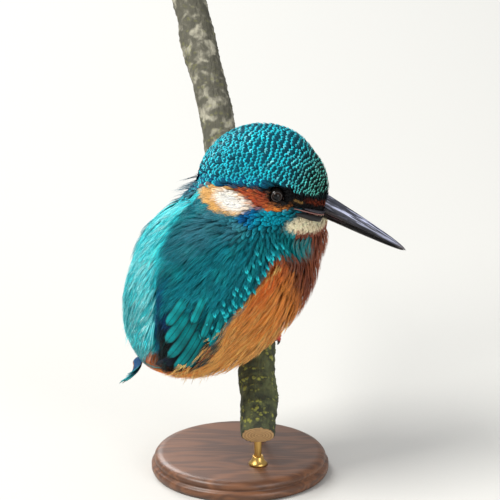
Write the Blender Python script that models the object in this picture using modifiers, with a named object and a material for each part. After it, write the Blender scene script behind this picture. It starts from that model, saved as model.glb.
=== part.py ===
"""Common kingfisher, life size, perched on a cut length of branch that a display stand holds.

World axes: +Z up, the bird faces +X, origin at the centre of the stand's underside.
Sizes below are millimetres and degrees; MM turns them into metres.
"""

import math

import bmesh
import bpy
from mathutils import Matrix, Vector

MM = 0.001
GAP = 0.3  # clearance between touching pieces

# Trunk: an egg whose long axis runs from vent to throat
TRUNK_CENTRE = (-6.0, -3.0, 87.5)
TRUNK_YAW = 20.0
TRUNK_PITCH = 47.0
TRUNK_FRONT = 46.0
TRUNK_REAR = 49.0
TRUNK_HALF_WIDTH = 30.5
TRUNK_BACK = 35.0
TRUNK_BELLY = 35.5
TRUNK_NECKING = 0.3

# Neck: the collar between head and trunk
NECK_CENTRE = (8.0, 2.5, 101.5)
NECK_YAW = 5.0
NECK_REACH = 28.0
NECK_HALF_WIDTH = 22.5
NECK_HALF_HEIGHT = 22.5

# Head: crown dome, narrowing to the bill
HEAD_CENTRE = (9.6, 3.0, 119.4)
HEAD_YAW = -10.0
HEAD_PITCH = 25.0
HEAD_FRONT = 27.0
HEAD_REAR = 26.5
HEAD_HALF_WIDTH = 20.0
HEAD_CROWN = 26.5
HEAD_CHIN = 26.0
FACE_TAPER = 0.25
BROW_SLOPE = 0.13  # how far the forehead slopes back, and the crown's front drops, as shares of their size
CROWN_FALL = 0.06

# Bill, measured from the head's centre along the head's own axis
BILL_TIP = 61.5
BILL_ROOT = 20.0
BILL_AXIS_HEIGHT = 4.0
BILL_HALF_WIDTH = 4.0
CULMEN_DEPTH = 6.6
LOWER_DEPTH = 3.3
BILL_WIDTH_FALL = 0.82  # how soon the width and each half's depth draw in: lower keeps them further out
CULMEN_FALL = 0.64
LOWER_FALL = 0.52
BILL_GAPE_CURVE = 0.08  # how far each half's flat face bows, as a share of its depth

EYE_RADIUS = 3.5
EYE_FORWARD = 5.3
EYE_HEIGHT = 7.0
EYE_SIDE = 16.2

# Folded wing, laid over the trunk's side
WING_FRONT = 33.0
WING_SLANT = 17.0
WING_TIP = -47.0
WING_CARRIER_REAR = 53.0
WING_THICKNESS = 4.6
WING_PROUD = 1.9

# Tail: twelve closed feathers seen as one blade
TAIL_ROOT = (-16.0, 0.0, -20.0)
TAIL_DROP = 40.0
TAIL_LENGTH = 35.0
TAIL_HALF_ROOT = 6.0
TAIL_HALF_END = 8.5
TAIL_HALF_THICKNESS = 1.3

# Branch: rises away from the viewer's side (-Y) to +Y
BRANCH_RADIUS = 7.0
BRANCH_INCLINE = 42.0
BRANCH_FOOT = (7.2, 0.0, 46.7)
BRANCH_BELOW = 33.0
BRANCH_ABOVE = 178.0
BRANCH_LEAN = 0.28
BRANCH_LEAN_START = 12.0

# Feet, as distances up the branch from BRANCH_FOOT
FOOT_PLACES = {"right": 12.0, "left": 28.0}
TOE_RADIUS = 1.15
TOE_SPREAD = 2.5
TARSUS_LENGTH = 8.0
SHIN_STUB = 1.3
TARSUS_RADIUS = 1.3
FOOT_ROOM = 5.0
FOOT_HOLLOW_EASE = 1.4

# Display stand
BASE_RADIUS = 36.0
BASE_THICKNESS = 8.0
BASE_EDGE = 1.2
ROD_RADIUS = 1.5
ROD_PLACES = {"front": -14.0, "back": 15.0}
ROD_DEPTH_IN_BASE = 5.0
ROD_DEPTH_IN_BRANCH = 4.0


def clear_scene():
    """Remove every object that the file starts with."""
    for obj in list(bpy.data.objects):
        bpy.data.objects.remove(obj, do_unlink=True)


def make_collection(name):
    """Return a new collection linked to the scene."""
    collection = bpy.data.collections.new(name)
    bpy.context.scene.collection.children.link(collection)
    return collection


def make_material(name, colour, roughness, metallic=0.0):
    """Return a Principled material of one colour."""
    material = bpy.data.materials.new(name)
    material.use_nodes = True
    shader = material.node_tree.nodes["Principled BSDF"]
    shader.inputs["Base Color"].default_value = (*colour, 1.0)
    shader.inputs["Roughness"].default_value = roughness
    shader.inputs["Metallic"].default_value = metallic
    return material


def smooth_step(value, low, high):
    """Ease from 0 at low to 1 at high."""
    t = min(max((value - low) / (high - low), 0.0), 1.0)
    return t * t * (3.0 - 2.0 * t)


def blend(start, end, amount):
    """Mix two numbers."""
    return start + (end - start) * amount


def frame_at(place, yaw, pitch):
    """A frame with local +X pointing along the yaw and tipped up by the pitch, in metres."""
    turn = Matrix.Rotation(math.radians(yaw), 4, "Z") @ Matrix.Rotation(math.radians(-pitch), 4, "Y")
    return Matrix.Translation(Vector(place) * MM) @ turn


# Forms: each takes a point of the unit sphere and returns a point in millimetres


def trunk_half_width(along):
    """Half-width scale: the shoulders draw in to the neck. Along runs from -1 (vent) to 1 (throat)."""
    return TRUNK_HALF_WIDTH * (1.0 - TRUNK_NECKING * smooth_step(along, 0.35, 1.0))


def trunk_form(point):
    """Egg with the blunt end at the vent and the sides drawn in at the neck."""
    length = TRUNK_FRONT if point.x > 0 else TRUNK_REAR
    height = TRUNK_BACK if point.z > 0 else TRUNK_BELLY
    return Vector((length * point.x, trunk_half_width(point.x) * point.y, height * point.z))


def neck_form(point):
    """Plain collar, wider than it is high."""
    return Vector((NECK_REACH * point.x, NECK_HALF_WIDTH * point.y, NECK_HALF_HEIGHT * point.z))


def head_form(point):
    """Crown dome whose sides draw in towards the bill, with a shallow chin."""
    length = HEAD_FRONT * (1.0 - BROW_SLOPE * smooth_step(point.z, -0.1, 0.5)) if point.x > 0 else HEAD_REAR
    height = HEAD_CROWN * (1.0 - CROWN_FALL * smooth_step(point.x, 0.0, 0.7)) if point.z > 0 else HEAD_CHIN
    width = HEAD_HALF_WIDTH * (1.0 - FACE_TAPER * smooth_step(point.x, 0.2, 1.0))
    lift = BILL_AXIS_HEIGHT * smooth_step(point.x, 0.3, 1.0)
    return Vector((length * point.x, width * point.y, height * point.z + lift))


def wing_edges(place):
    """Angles of the wing's upper and lower edge from the back's midline, at a place along the trunk."""
    upper = 9.0 + 26.0 * smooth_step(place, -8.0, -26.0) + 38.0 * smooth_step(place, -26.0, -47.0)
    lower = 99.0 + 9.0 * smooth_step(place, 5.0, 25.0) + 14.0 * smooth_step(place, -24.0, -44.0)
    return math.radians(upper), math.radians(lower)


def wing_form(point):
    """Shield-shaped shell on the trunk's right side, thin at its rim."""
    place = blend(WING_TIP, WING_FRONT, 0.5 + 0.5 * point.x)
    rim = math.sqrt(max(1.0 - point.x * point.x, 0.0))
    across = point.z / rim if rim > 1e-6 else 0.0
    outward = point.y / rim if rim > 1e-6 else 0.0
    upper, lower = wing_edges(place)
    spread = (1.0 - abs(point.x) ** 3.0) ** (1.0 / 2.2)
    place -= WING_SLANT * smooth_step(point.x, 0.0, 1.0) * (0.5 + 0.5 * across)
    angle = 0.5 * (upper + lower) - 0.5 * (lower - upper) * spread * across
    length = TRUNK_FRONT if place > 0 else WING_CARRIER_REAR
    girth = math.sqrt(1.0 - (place / length) ** 2)
    side = trunk_half_width(place / length) * girth * math.sin(angle)
    up = TRUNK_BACK * girth * math.cos(angle)
    normal = Vector((place / length ** 2, side / TRUNK_HALF_WIDTH ** 2, up / TRUNK_BACK ** 2)).normalized()
    depth = 0.5 * WING_THICKNESS * math.sqrt(rim)
    offset = WING_PROUD - 0.5 * WING_THICKNESS + depth * outward
    return Vector((place, side, up)) + normal * offset


def bill_form(depth, fall, sign):
    """Half of a dagger bill above (sign +1) or below (sign -1) the gape."""

    def form(point):
        along = 0.5 + 0.5 * point.x
        reach = blend(BILL_ROOT, BILL_TIP, along)
        taper = (1.0 - along) ** BILL_WIDTH_FALL + 0.02
        thinning = (1.0 - along) ** fall + 0.02
        rim = math.sqrt(max(1.0 - point.x * point.x, 0.0))
        side = point.y / rim if rim > 1e-6 else 0.0
        rise = point.z / rim if rim > 1e-6 else 0.0
        height = depth * thinning * (max(rise, 0.0) + BILL_GAPE_CURVE * (1.0 + min(rise, 0.0)))
        width = BILL_HALF_WIDTH * taper * side
        closing = smooth_step(along, 0.0, 0.04) * (1.0 - smooth_step(along, 0.95, 1.0))
        return Vector((reach, width * closing, BILL_AXIS_HEIGHT + sign * (GAP * 0.5 + height * closing)))

    return form


def face_outwards(bm):
    """Make every face point out of the closed body."""
    bmesh.ops.recalc_face_normals(bm, faces=bm.faces[:])
    if bm.calc_volume(signed=True) < 0.0:
        bmesh.ops.reverse_faces(bm, faces=bm.faces[:])


def new_object(name, mesh, frame, collection, material=None):
    """Link a mesh as an object standing in the given frame."""
    obj = bpy.data.objects.new(name, mesh)
    collection.objects.link(obj)
    obj.matrix_world = frame
    if material:
        mesh.materials.append(material)
    return obj


def make_blob(name, form, frame, collection, material=None, segments=32, rings=20):
    """A closed rounded solid: a sphere with its poles on local X, every point moved by the form."""
    mesh = bpy.data.meshes.new(name)
    bm = bmesh.new()
    turn = Matrix.Rotation(math.radians(90.0), 4, "Y")
    bmesh.ops.create_uvsphere(bm, u_segments=segments, v_segments=rings, radius=1.0, matrix=turn)
    for vert in bm.verts:
        vert.co = form(vert.co.copy()) * MM
    face_outwards(bm)
    bm.to_mesh(mesh)
    bm.free()
    mesh.shade_smooth()
    return new_object(name, mesh, frame, collection, material)


def as_guide(obj):
    """Keep an object out of the model: it only cuts or joins others."""
    obj.hide_render = True
    obj.display_type = "WIRE"
    return obj


def swollen_copy(obj, cutters, swell=GAP):
    """A hidden copy of an object, grown outwards, that cuts its neighbours clear of it."""
    cutter = bpy.data.objects.new(f"cutter_{obj.name}", obj.data.copy())
    cutters.objects.link(cutter)
    cutter.matrix_world = obj.matrix_world.copy()
    grow = cutter.modifiers.new("grow", "DISPLACE")
    grow.direction = "NORMAL"
    grow.mid_level = 0.0
    grow.strength = swell * MM
    return as_guide(cutter)


def combine(obj, operation, *others):
    """Cut the others out of the object (DIFFERENCE) or join them to it (UNION)."""
    for other in others:
        modifier = obj.modifiers.new(f"{operation.lower()}_{other.name}", "BOOLEAN")
        modifier.operation = operation
        modifier.solver = "EXACT"
        modifier.object = other


def cut(obj, *cutters):
    """Take each cutter out of the object."""
    combine(obj, "DIFFERENCE", *cutters)


def make_cylinder(name, radius, low, high, place, collection, material=None, sides=16):
    """An upright cylinder between two heights, centred at a place in plan. Millimetres."""
    bpy.ops.mesh.primitive_cylinder_add(
        vertices=sides,
        radius=radius * MM,
        depth=(high - low) * MM,
        location=(place[0] * MM, place[1] * MM, 0.5 * (low + high) * MM),
    )
    obj = bpy.context.active_object
    obj.name = name
    for holder in list(obj.users_collection):
        holder.objects.unlink(obj)
    collection.objects.link(obj)
    if material:
        obj.data.materials.append(material)
    return obj


# Sub-parts


def branch_point(distance):
    """Centre of the branch at a distance up it from its foot, in millimetres."""
    incline = math.radians(BRANCH_INCLINE)
    run = distance * math.cos(incline)
    lean = BRANCH_LEAN * max(run - BRANCH_LEAN_START, 0.0) ** 2 / (abs(run - BRANCH_LEAN_START) + 14.0)
    foot = Vector(BRANCH_FOOT)
    return foot + Vector((-lean, run, distance * math.sin(incline)))


def branch_frame(distance):
    """Frame on the branch's centre line: local Z up the branch, local X to the bird's front."""
    step = 1.0
    along = (branch_point(distance + step) - branch_point(distance - step)).normalized()
    front = (Vector((1.0, 0.0, 0.0)) - along * along.x).normalized()
    normal = along.cross(front)
    turn = Matrix((front, normal, along)).transposed().to_4x4()
    return Matrix.Translation(branch_point(distance) * MM) @ turn


def branch_swell(distance, turn):
    """Branch radius: slight waves, and a few knots given by place, side and height."""
    knots = ((-16.0, 0.2, 1.8, 7.0), (-2.0, 3.3, 0.9, 9.0), (96.0, 3.1, 1.3, 8.0), (148.0, 3.3, 1.6, 6.0))
    radius = BRANCH_RADIUS * (1.0 + 0.035 * math.sin(distance / 11.0) * math.cos(turn + distance / 40.0))
    for place, side, height, length in knots:
        facing = max(math.cos(turn - side), 0.0) ** 2
        radius += height * facing * math.exp(-((distance - place) / length) ** 2)
    return radius


def make_perch(collection, material, rings=24, sides=14):
    """Cut length of branch: a cylinder whose rings follow the branch's line and knots."""
    mesh = bpy.data.meshes.new("perch")
    bm = bmesh.new()
    bmesh.ops.create_cone(bm, cap_ends=True, segments=sides, radius1=1.0, radius2=1.0, depth=1.0)
    upright = [edge for edge in bm.edges if abs(edge.verts[0].co.z - edge.verts[1].co.z) > 0.5]
    bmesh.ops.subdivide_edges(bm, edges=upright, cuts=rings - 1, use_grid_fill=True)
    for vert in bm.verts:
        distance = blend(-BRANCH_BELOW, BRANCH_ABOVE, vert.co.z + 0.5)
        turn = math.atan2(vert.co.y, vert.co.x)
        radius = branch_swell(distance, turn) * MM
        vert.co = branch_frame(distance) @ Vector((radius * math.cos(turn), radius * math.sin(turn), 0.0))
    face_outwards(bm)
    bm.to_mesh(mesh)
    bm.free()
    mesh.shade_smooth()
    mesh.set_sharp_from_angle(angle=math.radians(50.0))
    return new_object("perch", mesh, Matrix.Identity(4), collection, material)


def make_tail(collection, material):
    """Closed tail: a bevelled blade, widest and rounded at its end."""
    mesh = bpy.data.meshes.new("tail")
    bm = bmesh.new()
    bmesh.ops.create_cube(bm, size=2.0)
    bmesh.ops.subdivide_edges(bm, edges=bm.edges[:], cuts=4, use_grid_fill=True)
    for vert in bm.verts:
        along = 0.5 - 0.5 * vert.co.x
        side = vert.co.y
        half_width = blend(TAIL_HALF_ROOT, TAIL_HALF_END, along)
        reach = TAIL_LENGTH * along - 3.0 * along * side * side
        ridge = 1.0 - 0.45 * abs(side)
        droop = -1.6 * side * side
        thickness = TAIL_HALF_THICKNESS * ridge * blend(1.25, 0.5, along)
        vert.co = Vector((-reach, half_width * side, droop + thickness * vert.co.z)) * MM
    face_outwards(bm)
    bm.to_mesh(mesh)
    bm.free()
    mesh.shade_smooth()
    mesh.set_sharp_from_angle(angle=math.radians(50.0))
    root = frame_at(TRUNK_CENTRE, TRUNK_YAW, 0.0) @ frame_at(TAIL_ROOT, 0.0, TAIL_DROP)
    return new_object("tail", mesh, root, collection, material)


def tube_mesh(name, points, radii, collection, resolution=1):
    """A tapering round tube through points in metres, made from a bevelled curve with welded caps."""
    curve = bpy.data.curves.new(name, "CURVE")
    curve.dimensions = "3D"
    curve.bevel_depth = MM
    curve.bevel_resolution = resolution
    curve.use_fill_caps = True
    spline = curve.splines.new("POLY")
    spline.points.add(len(points) - 1)
    for knot, point, radius in zip(spline.points, points, radii):
        knot.co = (*point, 1.0)
        knot.radius = radius
    guide = bpy.data.objects.new(f"{name}_guide", curve)
    collection.objects.link(guide)
    depsgraph = bpy.context.evaluated_depsgraph_get()
    mesh = bpy.data.meshes.new_from_object(guide.evaluated_get(depsgraph))
    mesh.name = name
    bpy.data.objects.remove(guide, do_unlink=True)
    bpy.data.curves.remove(curve)
    bm = bmesh.new()
    bm.from_mesh(mesh)
    bmesh.ops.remove_doubles(bm, verts=bm.verts[:], dist=0.00001)
    face_outwards(bm)
    bm.to_mesh(mesh)
    bm.free()
    mesh.materials.clear()
    mesh.shade_smooth()
    return mesh


def toe_points(place, start, end, height, count):
    """Arc at a height over the bark, from one angle to another (0 is the branch's top, + its front)."""
    frame = branch_frame(place)
    points = []
    for step in range(count):
        angle = math.radians(blend(start, end, step / (count - 1)))
        radius = branch_swell(place, angle - math.radians(90.0)) + height
        points.append(frame @ (Vector((math.sin(angle), -math.cos(angle), 0.0)) * radius * MM))
    return points


def make_foot(side, collection, cutters, skin_material, claw_material):
    """One foot: three front toes and a hind toe over the branch, each with its claw. Returns the leg."""
    centre = FOOT_PLACES[side]
    ride = TOE_RADIUS + GAP
    inner = ("inner", centre + TOE_SPREAD, 72.0)
    middle = ("middle", centre, 92.0)
    outer = ("outer", centre - TOE_SPREAD, 80.0)
    hind = ("hind", centre, -78.0)
    pieces = []
    for label, place, reach in (inner, middle, outer, hind):
        points = toe_points(place, 0.0, reach, ride, 5)
        points[0] = toe_points(centre, 0.0, reach, ride + 0.6, 2)[0]
        radii = [TOE_RADIUS * (1.0 - 0.07 * step) for step in range(5)]
        mesh = tube_mesh(f"toe_{side}_{label}", points, radii, collection)
        pieces.append(as_guide(new_object(f"toe_{side}_{label}", mesh, Matrix.Identity(4), cutters)))
        turn = math.copysign(1.0, reach)
        tip = toe_points(place, reach + turn * 5.5, reach + turn * 30.0, ride - 0.1, 4)
        claw = tube_mesh(f"claw_{side}_{label}", tip, (0.75, 0.65, 0.5, 0.25), collection)
        new_object(f"claw_{side}_{label}", claw, Matrix.Identity(4), collection, claw_material)
    heel = toe_points(centre, 0.0, 10.0, ride + 0.4, 2)[0]
    back = frame_at((0.0, 0.0, 0.0), TRUNK_YAW, 0.0).to_3x3() @ Vector((-0.45, 0.0, 0.89))
    shin = [heel, heel + back * SHIN_STUB * MM]
    foot_mesh = tube_mesh(f"foot_{side}", shin, (TARSUS_RADIUS * 1.15, TARSUS_RADIUS), collection, 2)
    foot = new_object(f"foot_{side}", foot_mesh, Matrix.Identity(4), collection, skin_material)
    combine(foot, "UNION", *pieces)
    ankle = [shin[1] + back * GAP * MM, heel + back * TARSUS_LENGTH * MM]
    leg_mesh = tube_mesh(f"leg_{side}", ankle, (TARSUS_RADIUS, TARSUS_RADIUS * 1.5), collection, 2)
    leg = new_object(f"leg_{side}", leg_mesh, Matrix.Identity(4), collection, skin_material)
    return leg


def make_foot_hollow(cutters):
    """Room round the branch inside the belly plumage, long enough for both feet."""
    low = FOOT_PLACES["right"] - FOOT_ROOM
    high = FOOT_PLACES["left"] + FOOT_ROOM
    mesh = bpy.data.meshes.new("foot_hollow")
    bm = bmesh.new()
    reach = BRANCH_RADIUS + 2.0 * TOE_RADIUS + FOOT_HOLLOW_EASE
    size = {"radius1": reach * MM, "radius2": reach * MM, "depth": (high - low) * MM}
    bmesh.ops.create_cone(bm, cap_ends=True, segments=18, **size)
    face_outwards(bm)
    bm.to_mesh(mesh)
    bm.free()
    return as_guide(new_object("foot_hollow", mesh, branch_frame(0.5 * (low + high)), cutters))


def make_stand(collection, cutters, base_material, rod_material, perch):
    """Round base and two rods, each seated in a blind hole of the base and of the branch."""
    base = make_cylinder(
        "stand_base", BASE_RADIUS, 0.0, BASE_THICKNESS, (0.0, 0.0), collection, base_material, sides=32
    )
    bevel = base.modifiers.new("edge", "BEVEL")
    bevel.width = BASE_EDGE * MM
    bevel.segments = 2
    bevel.limit_method = "ANGLE"
    slant = math.cos(math.radians(BRANCH_INCLINE))
    for label, along in ROD_PLACES.items():
        seat = branch_point(along / slant)
        low = BASE_THICKNESS - ROD_DEPTH_IN_BASE
        high = seat.z - BRANCH_RADIUS / slant + ROD_DEPTH_IN_BRANCH
        make_cylinder(f"stand_rod_{label}", ROD_RADIUS, low, high, seat, collection, rod_material)
        hole = make_cylinder(f"hole_{label}", ROD_RADIUS + GAP, low - GAP, high + GAP, seat, cutters)
        cut(base, as_guide(hole))
        cut(perch, hole)


def build():
    """Make the bird, its perch and the stand."""
    clear_scene()
    parts = make_collection("kingfisher")
    cutters = make_collection("cutters")
    teal = make_material("teal_plumage", (0.005, 0.16, 0.20), 0.55)
    azure = make_material("azure_plumage", (0.06, 0.62, 0.72), 0.5)
    rufous = make_material("rufous_plumage", (0.45, 0.16, 0.04), 0.75)
    cream = make_material("cream_plumage", (0.80, 0.68, 0.45), 0.8)
    bill_black = make_material("bill_horn", (0.02, 0.02, 0.025), 0.3)
    eye_brown = make_material("eye_gloss", (0.02, 0.01, 0.006), 0.05)
    foot_red = make_material("foot_skin", (0.55, 0.04, 0.01), 0.5)
    claw_horn = make_material("claw_horn", (0.03, 0.02, 0.02), 0.35)
    bark = make_material("bark", (0.10, 0.11, 0.06), 0.9)
    base_wood = make_material("base_wood", (0.05, 0.035, 0.025), 0.4)
    brass = make_material("rod_brass", (0.72, 0.52, 0.25), 0.3, 1.0)

    trunk_frame = frame_at(TRUNK_CENTRE, TRUNK_YAW, TRUNK_PITCH)
    head_frame = frame_at(HEAD_CENTRE, HEAD_YAW, -HEAD_PITCH)
    neck_frame = frame_at(NECK_CENTRE, NECK_YAW, 0.0)

    head = make_blob("head", head_form, head_frame, parts, teal, 28, 19)
    neck = make_blob("neck", neck_form, neck_frame, parts, cream, 22, 14)
    trunk = make_blob("trunk", trunk_form, trunk_frame, parts, rufous, 32, 22)
    head_cutter = swollen_copy(head, cutters)
    neck_cutter = swollen_copy(neck, cutters)
    trunk_cutter = swollen_copy(trunk, cutters)

    wing_cutters = []
    wings = []
    for side, sign in (("right", -1.0), ("left", 1.0)):
        def sided(point, sign=sign):
            return Vector((1.0, sign, 1.0)) * wing_form(Vector((point.x, point.y, point.z)))

        wing = make_blob(f"wing_{side}", sided, trunk_frame, parts, teal, 22, 14)
        wing_cutters.append(swollen_copy(wing, cutters, 1.6 * GAP))
        wings.append(wing)

    bill_upper = make_blob("bill_upper", bill_form(CULMEN_DEPTH, CULMEN_FALL, 1.0), head_frame, parts, bill_black, 12, 10)
    bill_lower = make_blob("bill_lower", bill_form(LOWER_DEPTH, LOWER_FALL, -1.0), head_frame, parts, bill_black, 12, 10)
    cut(bill_upper, head_cutter)
    cut(bill_lower, head_cutter, neck_cutter)

    for side, sign in (("right", -1.0), ("left", 1.0)):
        eye_place = Vector((EYE_FORWARD, sign * EYE_SIDE, EYE_HEIGHT)) * MM
        eye_frame = head_frame @ Matrix.Translation(eye_place)
        eye = make_blob(f"eye_{side}", lambda point: point * EYE_RADIUS, eye_frame, parts, eye_brown, 16, 8)
        cut(head, swollen_copy(eye, cutters))

    perch = make_perch(parts, bark)
    perch_cutter = swollen_copy(perch, cutters)
    make_stand(parts, cutters, base_wood, brass, perch)
    tail = make_tail(parts, azure)

    cut(neck, head_cutter)
    cut(trunk, head_cutter, neck_cutter, *wing_cutters, perch_cutter)
    cut(tail, trunk_cutter, *wing_cutters)
    for wing in wings:
        cut(wing, head_cutter, neck_cutter)

    for side in FOOT_PLACES:
        leg = make_foot(side, parts, cutters, foot_red, claw_horn)
        cut(trunk, swollen_copy(leg, cutters, 2.0 * GAP))
    cut(trunk, make_foot_hollow(cutters))

    origin = bpy.data.objects.new("model_origin", None)
    parts.objects.link(origin)
    for obj in parts.objects:
        if obj is not origin:
            obj.parent = origin


build()
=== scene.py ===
"""Looks of the perched common kingfisher: skin, feathers, bill, eyes, feet, branch, stand and studio.

Sizes are millimetres unless a name says otherwise; MM turns them into metres. The head frame is
(forward, left, up) from the head's centre, the trunk frame is (along, left, dorsal) from the trunk's.
"""

import logging
import math
from dataclasses import dataclass, field
from enum import Enum
from typing import Callable, Sequence

import bmesh
import bpy
import numpy as np
from mathutils import Matrix, Vector
from mathutils.bvhtree import BVHTree


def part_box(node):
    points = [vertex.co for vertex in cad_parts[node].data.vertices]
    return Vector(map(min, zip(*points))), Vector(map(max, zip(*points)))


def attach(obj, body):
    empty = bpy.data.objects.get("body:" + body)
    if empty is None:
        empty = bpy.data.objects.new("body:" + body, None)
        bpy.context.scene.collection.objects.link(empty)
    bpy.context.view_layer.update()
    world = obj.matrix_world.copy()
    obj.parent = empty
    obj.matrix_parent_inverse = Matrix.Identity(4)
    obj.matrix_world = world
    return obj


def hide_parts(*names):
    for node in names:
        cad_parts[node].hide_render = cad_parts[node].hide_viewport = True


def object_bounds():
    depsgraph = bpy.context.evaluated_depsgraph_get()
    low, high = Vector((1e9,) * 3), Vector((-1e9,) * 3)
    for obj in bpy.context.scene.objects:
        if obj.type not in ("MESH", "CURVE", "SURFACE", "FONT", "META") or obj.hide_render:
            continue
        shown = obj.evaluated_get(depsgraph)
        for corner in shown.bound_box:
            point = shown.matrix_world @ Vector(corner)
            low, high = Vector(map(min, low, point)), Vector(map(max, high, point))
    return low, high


MM = 0.001
BODY = "root"
SEED = 41
Colour = tuple[float, float, float]
Rows = np.ndarray
Sizes = Rows | float
Socket = bpy.types.NodeSocket
Material = bpy.types.Material
Piece = bpy.types.Object

log = logging.getLogger("kingfisher")
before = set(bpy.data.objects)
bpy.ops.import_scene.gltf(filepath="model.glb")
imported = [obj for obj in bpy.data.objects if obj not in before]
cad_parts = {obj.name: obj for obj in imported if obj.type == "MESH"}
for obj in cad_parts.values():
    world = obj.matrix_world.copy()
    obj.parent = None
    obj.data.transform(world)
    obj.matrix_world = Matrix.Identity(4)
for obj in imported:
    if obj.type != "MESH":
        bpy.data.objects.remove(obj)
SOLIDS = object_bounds()


# ---------------------------------------------------------------- numbers and meshes


def ease(value: Rows | float, low: float, high: float) -> Rows:
    """Smooth step from 0 at low to 1 at high; low may be the larger.

    Args:
        value: Numbers to map.
        low: Where the step starts.
        high: Where the step ends.

    Returns:
        Numbers from 0 to 1.
    """
    t = np.clip((np.asarray(value, float) - low) / (high - low), 0.0, 1.0)
    return t * t * (3.0 - 2.0 * t)


def oval(x: Rows, y: Rows, centre: tuple[float, float], size: tuple[float, float],
         tilt: float = 0.0, soft: float = 0.2) -> Rows:
    """Soft-edged tilted ellipse in a plane.

    Args:
        x: First coordinates.
        y: Second coordinates.
        centre: Middle of the ellipse.
        size: Half-length and half-height.
        tilt: Degrees from x towards y.
        soft: Share of the radius over which the edge fades.

    Returns:
        1 inside and 0 outside.
    """
    c, s = math.cos(math.radians(tilt)), math.sin(math.radians(tilt))
    dx, dy = x - centre[0], y - centre[1]
    reach = np.hypot((dx * c + dy * s) / size[0], (dy * c - dx * s) / size[1])
    return ease(reach, 1.0 + soft, 1.0 - soft)


def tone(red: int, green: int, blue: int) -> Colour:
    """Linear colour from display values of 0 to 255."""
    return tuple(((v / 255 + 0.055) / 1.055) ** 2.4 if v > 10 else v / 255 / 12.92
                 for v in (red, green, blue))


def mix(base: "Hue", colour: "Hue", mask: Rows) -> Rows:
    """Lay one colour, or rows of them, over another where the mask is 1.

    Args:
        base: What lies below.
        colour: What is laid over it.
        mask: Numbers from 0 to 1.

    Returns:
        Linear colours, one for each number of the mask.
    """
    under, over = (c.rgb if isinstance(c, Pigment) else np.asarray(c) for c in (base, colour))
    return under + (over - under) * mask[..., None]


def unit(vectors: Rows) -> Rows:
    """Rows scaled to length 1."""
    return vectors / np.maximum(np.linalg.norm(vectors, axis=-1, keepdims=True), 1e-12)


def flattened(ways: Rows, normals: Rows) -> Rows:
    """The part of each direction that lies square to its normal, scaled to length 1."""
    return unit(ways - normals * np.einsum("ij,ij->i", ways, normals)[:, None])


def ripple(points: Rows, size: float, turn: float = 0.0) -> Rows:
    """Smooth made-up variation over space, about -1 to 1.

    Args:
        points: Rows of positions in metres.
        size: Rough width of a swell in millimetres.
        turn: Shifts the pattern.

    Returns:
        One number for each row.
    """
    p = points / (size * MM)
    first = np.sin(p[:, 0] * 2.1 + 1.7 * np.sin(p[:, 1] * 1.3 + turn)) * np.cos(p[:, 2] * 1.9 + turn)
    second = np.sin(p[:, 1] * 3.7 + 1.1 * np.sin(p[:, 2] * 2.3 - turn)) * np.cos(p[:, 0] * 3.1 - turn)
    return 0.6 * first + 0.4 * second


def mesh_piece(name: str, verts: Rows, faces: Rows) -> Piece:
    """Make an object from points and equal-sided faces.

    Args:
        name: Object name.
        verts: Rows of positions in metres.
        faces: Rows of point numbers, three or four to a row.

    Returns:
        The linked object, shaded smooth.
    """
    mesh = bpy.data.meshes.new(name)
    count, sides = faces.shape
    mesh.vertices.add(len(verts))
    mesh.vertices.foreach_set("co", np.ascontiguousarray(verts, np.float32).ravel())
    mesh.loops.add(count * sides)
    mesh.loops.foreach_set("vertex_index", np.ascontiguousarray(faces, np.int32).ravel())
    mesh.polygons.add(count)
    mesh.polygons.foreach_set("loop_start", np.arange(0, count * sides, sides, dtype=np.int32))
    mesh.update(calc_edges=True)
    mesh.shade_smooth()
    obj = bpy.data.objects.new(name, mesh)
    bpy.context.scene.collection.objects.link(obj)
    return obj


def mesh_points(obj: Piece, kind: str = "co") -> Rows:
    """Read one vector for each of an object's mesh points.

    Args:
        obj: The object.
        kind: "co" for places in metres, "normal" for directions.

    Returns:
        Rows of three numbers.
    """
    flat = np.empty(len(obj.data.vertices) * 3, np.float32)
    obj.data.vertices.foreach_get(kind, flat)
    return flat.reshape(-1, 3).astype(float)


def set_points(obj: Piece, points: Rows) -> None:
    """Write rows of positions back to an object's mesh."""
    obj.data.vertices.foreach_set("co", np.ascontiguousarray(points, np.float32).ravel())
    obj.data.update()


def set_uv(obj: Piece, name: str, per_point: Rows) -> None:
    """Give an object a UV map that has one place for each mesh point.

    Args:
        obj: The object.
        name: Name of the map.
        per_point: Rows of two numbers.
    """
    layer = obj.data.uv_layers.new(name=name)
    index = np.empty(len(obj.data.loops), np.int32)
    obj.data.loops.foreach_get("vertex_index", index)
    layer.data.foreach_set("uv", np.ascontiguousarray(per_point[index], np.float32).ravel())


def set_tint(obj: Piece, colours: Rows) -> None:
    """Store one linear colour for each mesh point as the attribute that the finishes read.

    Args:
        obj: The object.
        colours: Rows of three numbers.
    """
    rgba = np.ones((len(colours), 4), np.float32)
    rgba[:, :3] = np.clip(colours, 0.0, 1.0)
    attribute = obj.data.attributes.new("tint", "FLOAT_COLOR", "POINT")
    attribute.data.foreach_set("color", rgba.ravel())


def outward_faces(points: Rows, faces: Rows) -> Rows:
    """Turn the faces of a closed form so that they look outwards.

    Args:
        points: Rows of positions.
        faces: Rows of three point numbers.

    Returns:
        The faces, all flipped or none.
    """
    a, b, c = points[faces[:, 0]], points[faces[:, 1]], points[faces[:, 2]]
    volume = np.einsum("ij,ij->", a - points.mean(0), np.cross(b - points.mean(0), c - points.mean(0)))
    return faces if volume > 0 else faces[:, ::-1]


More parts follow.
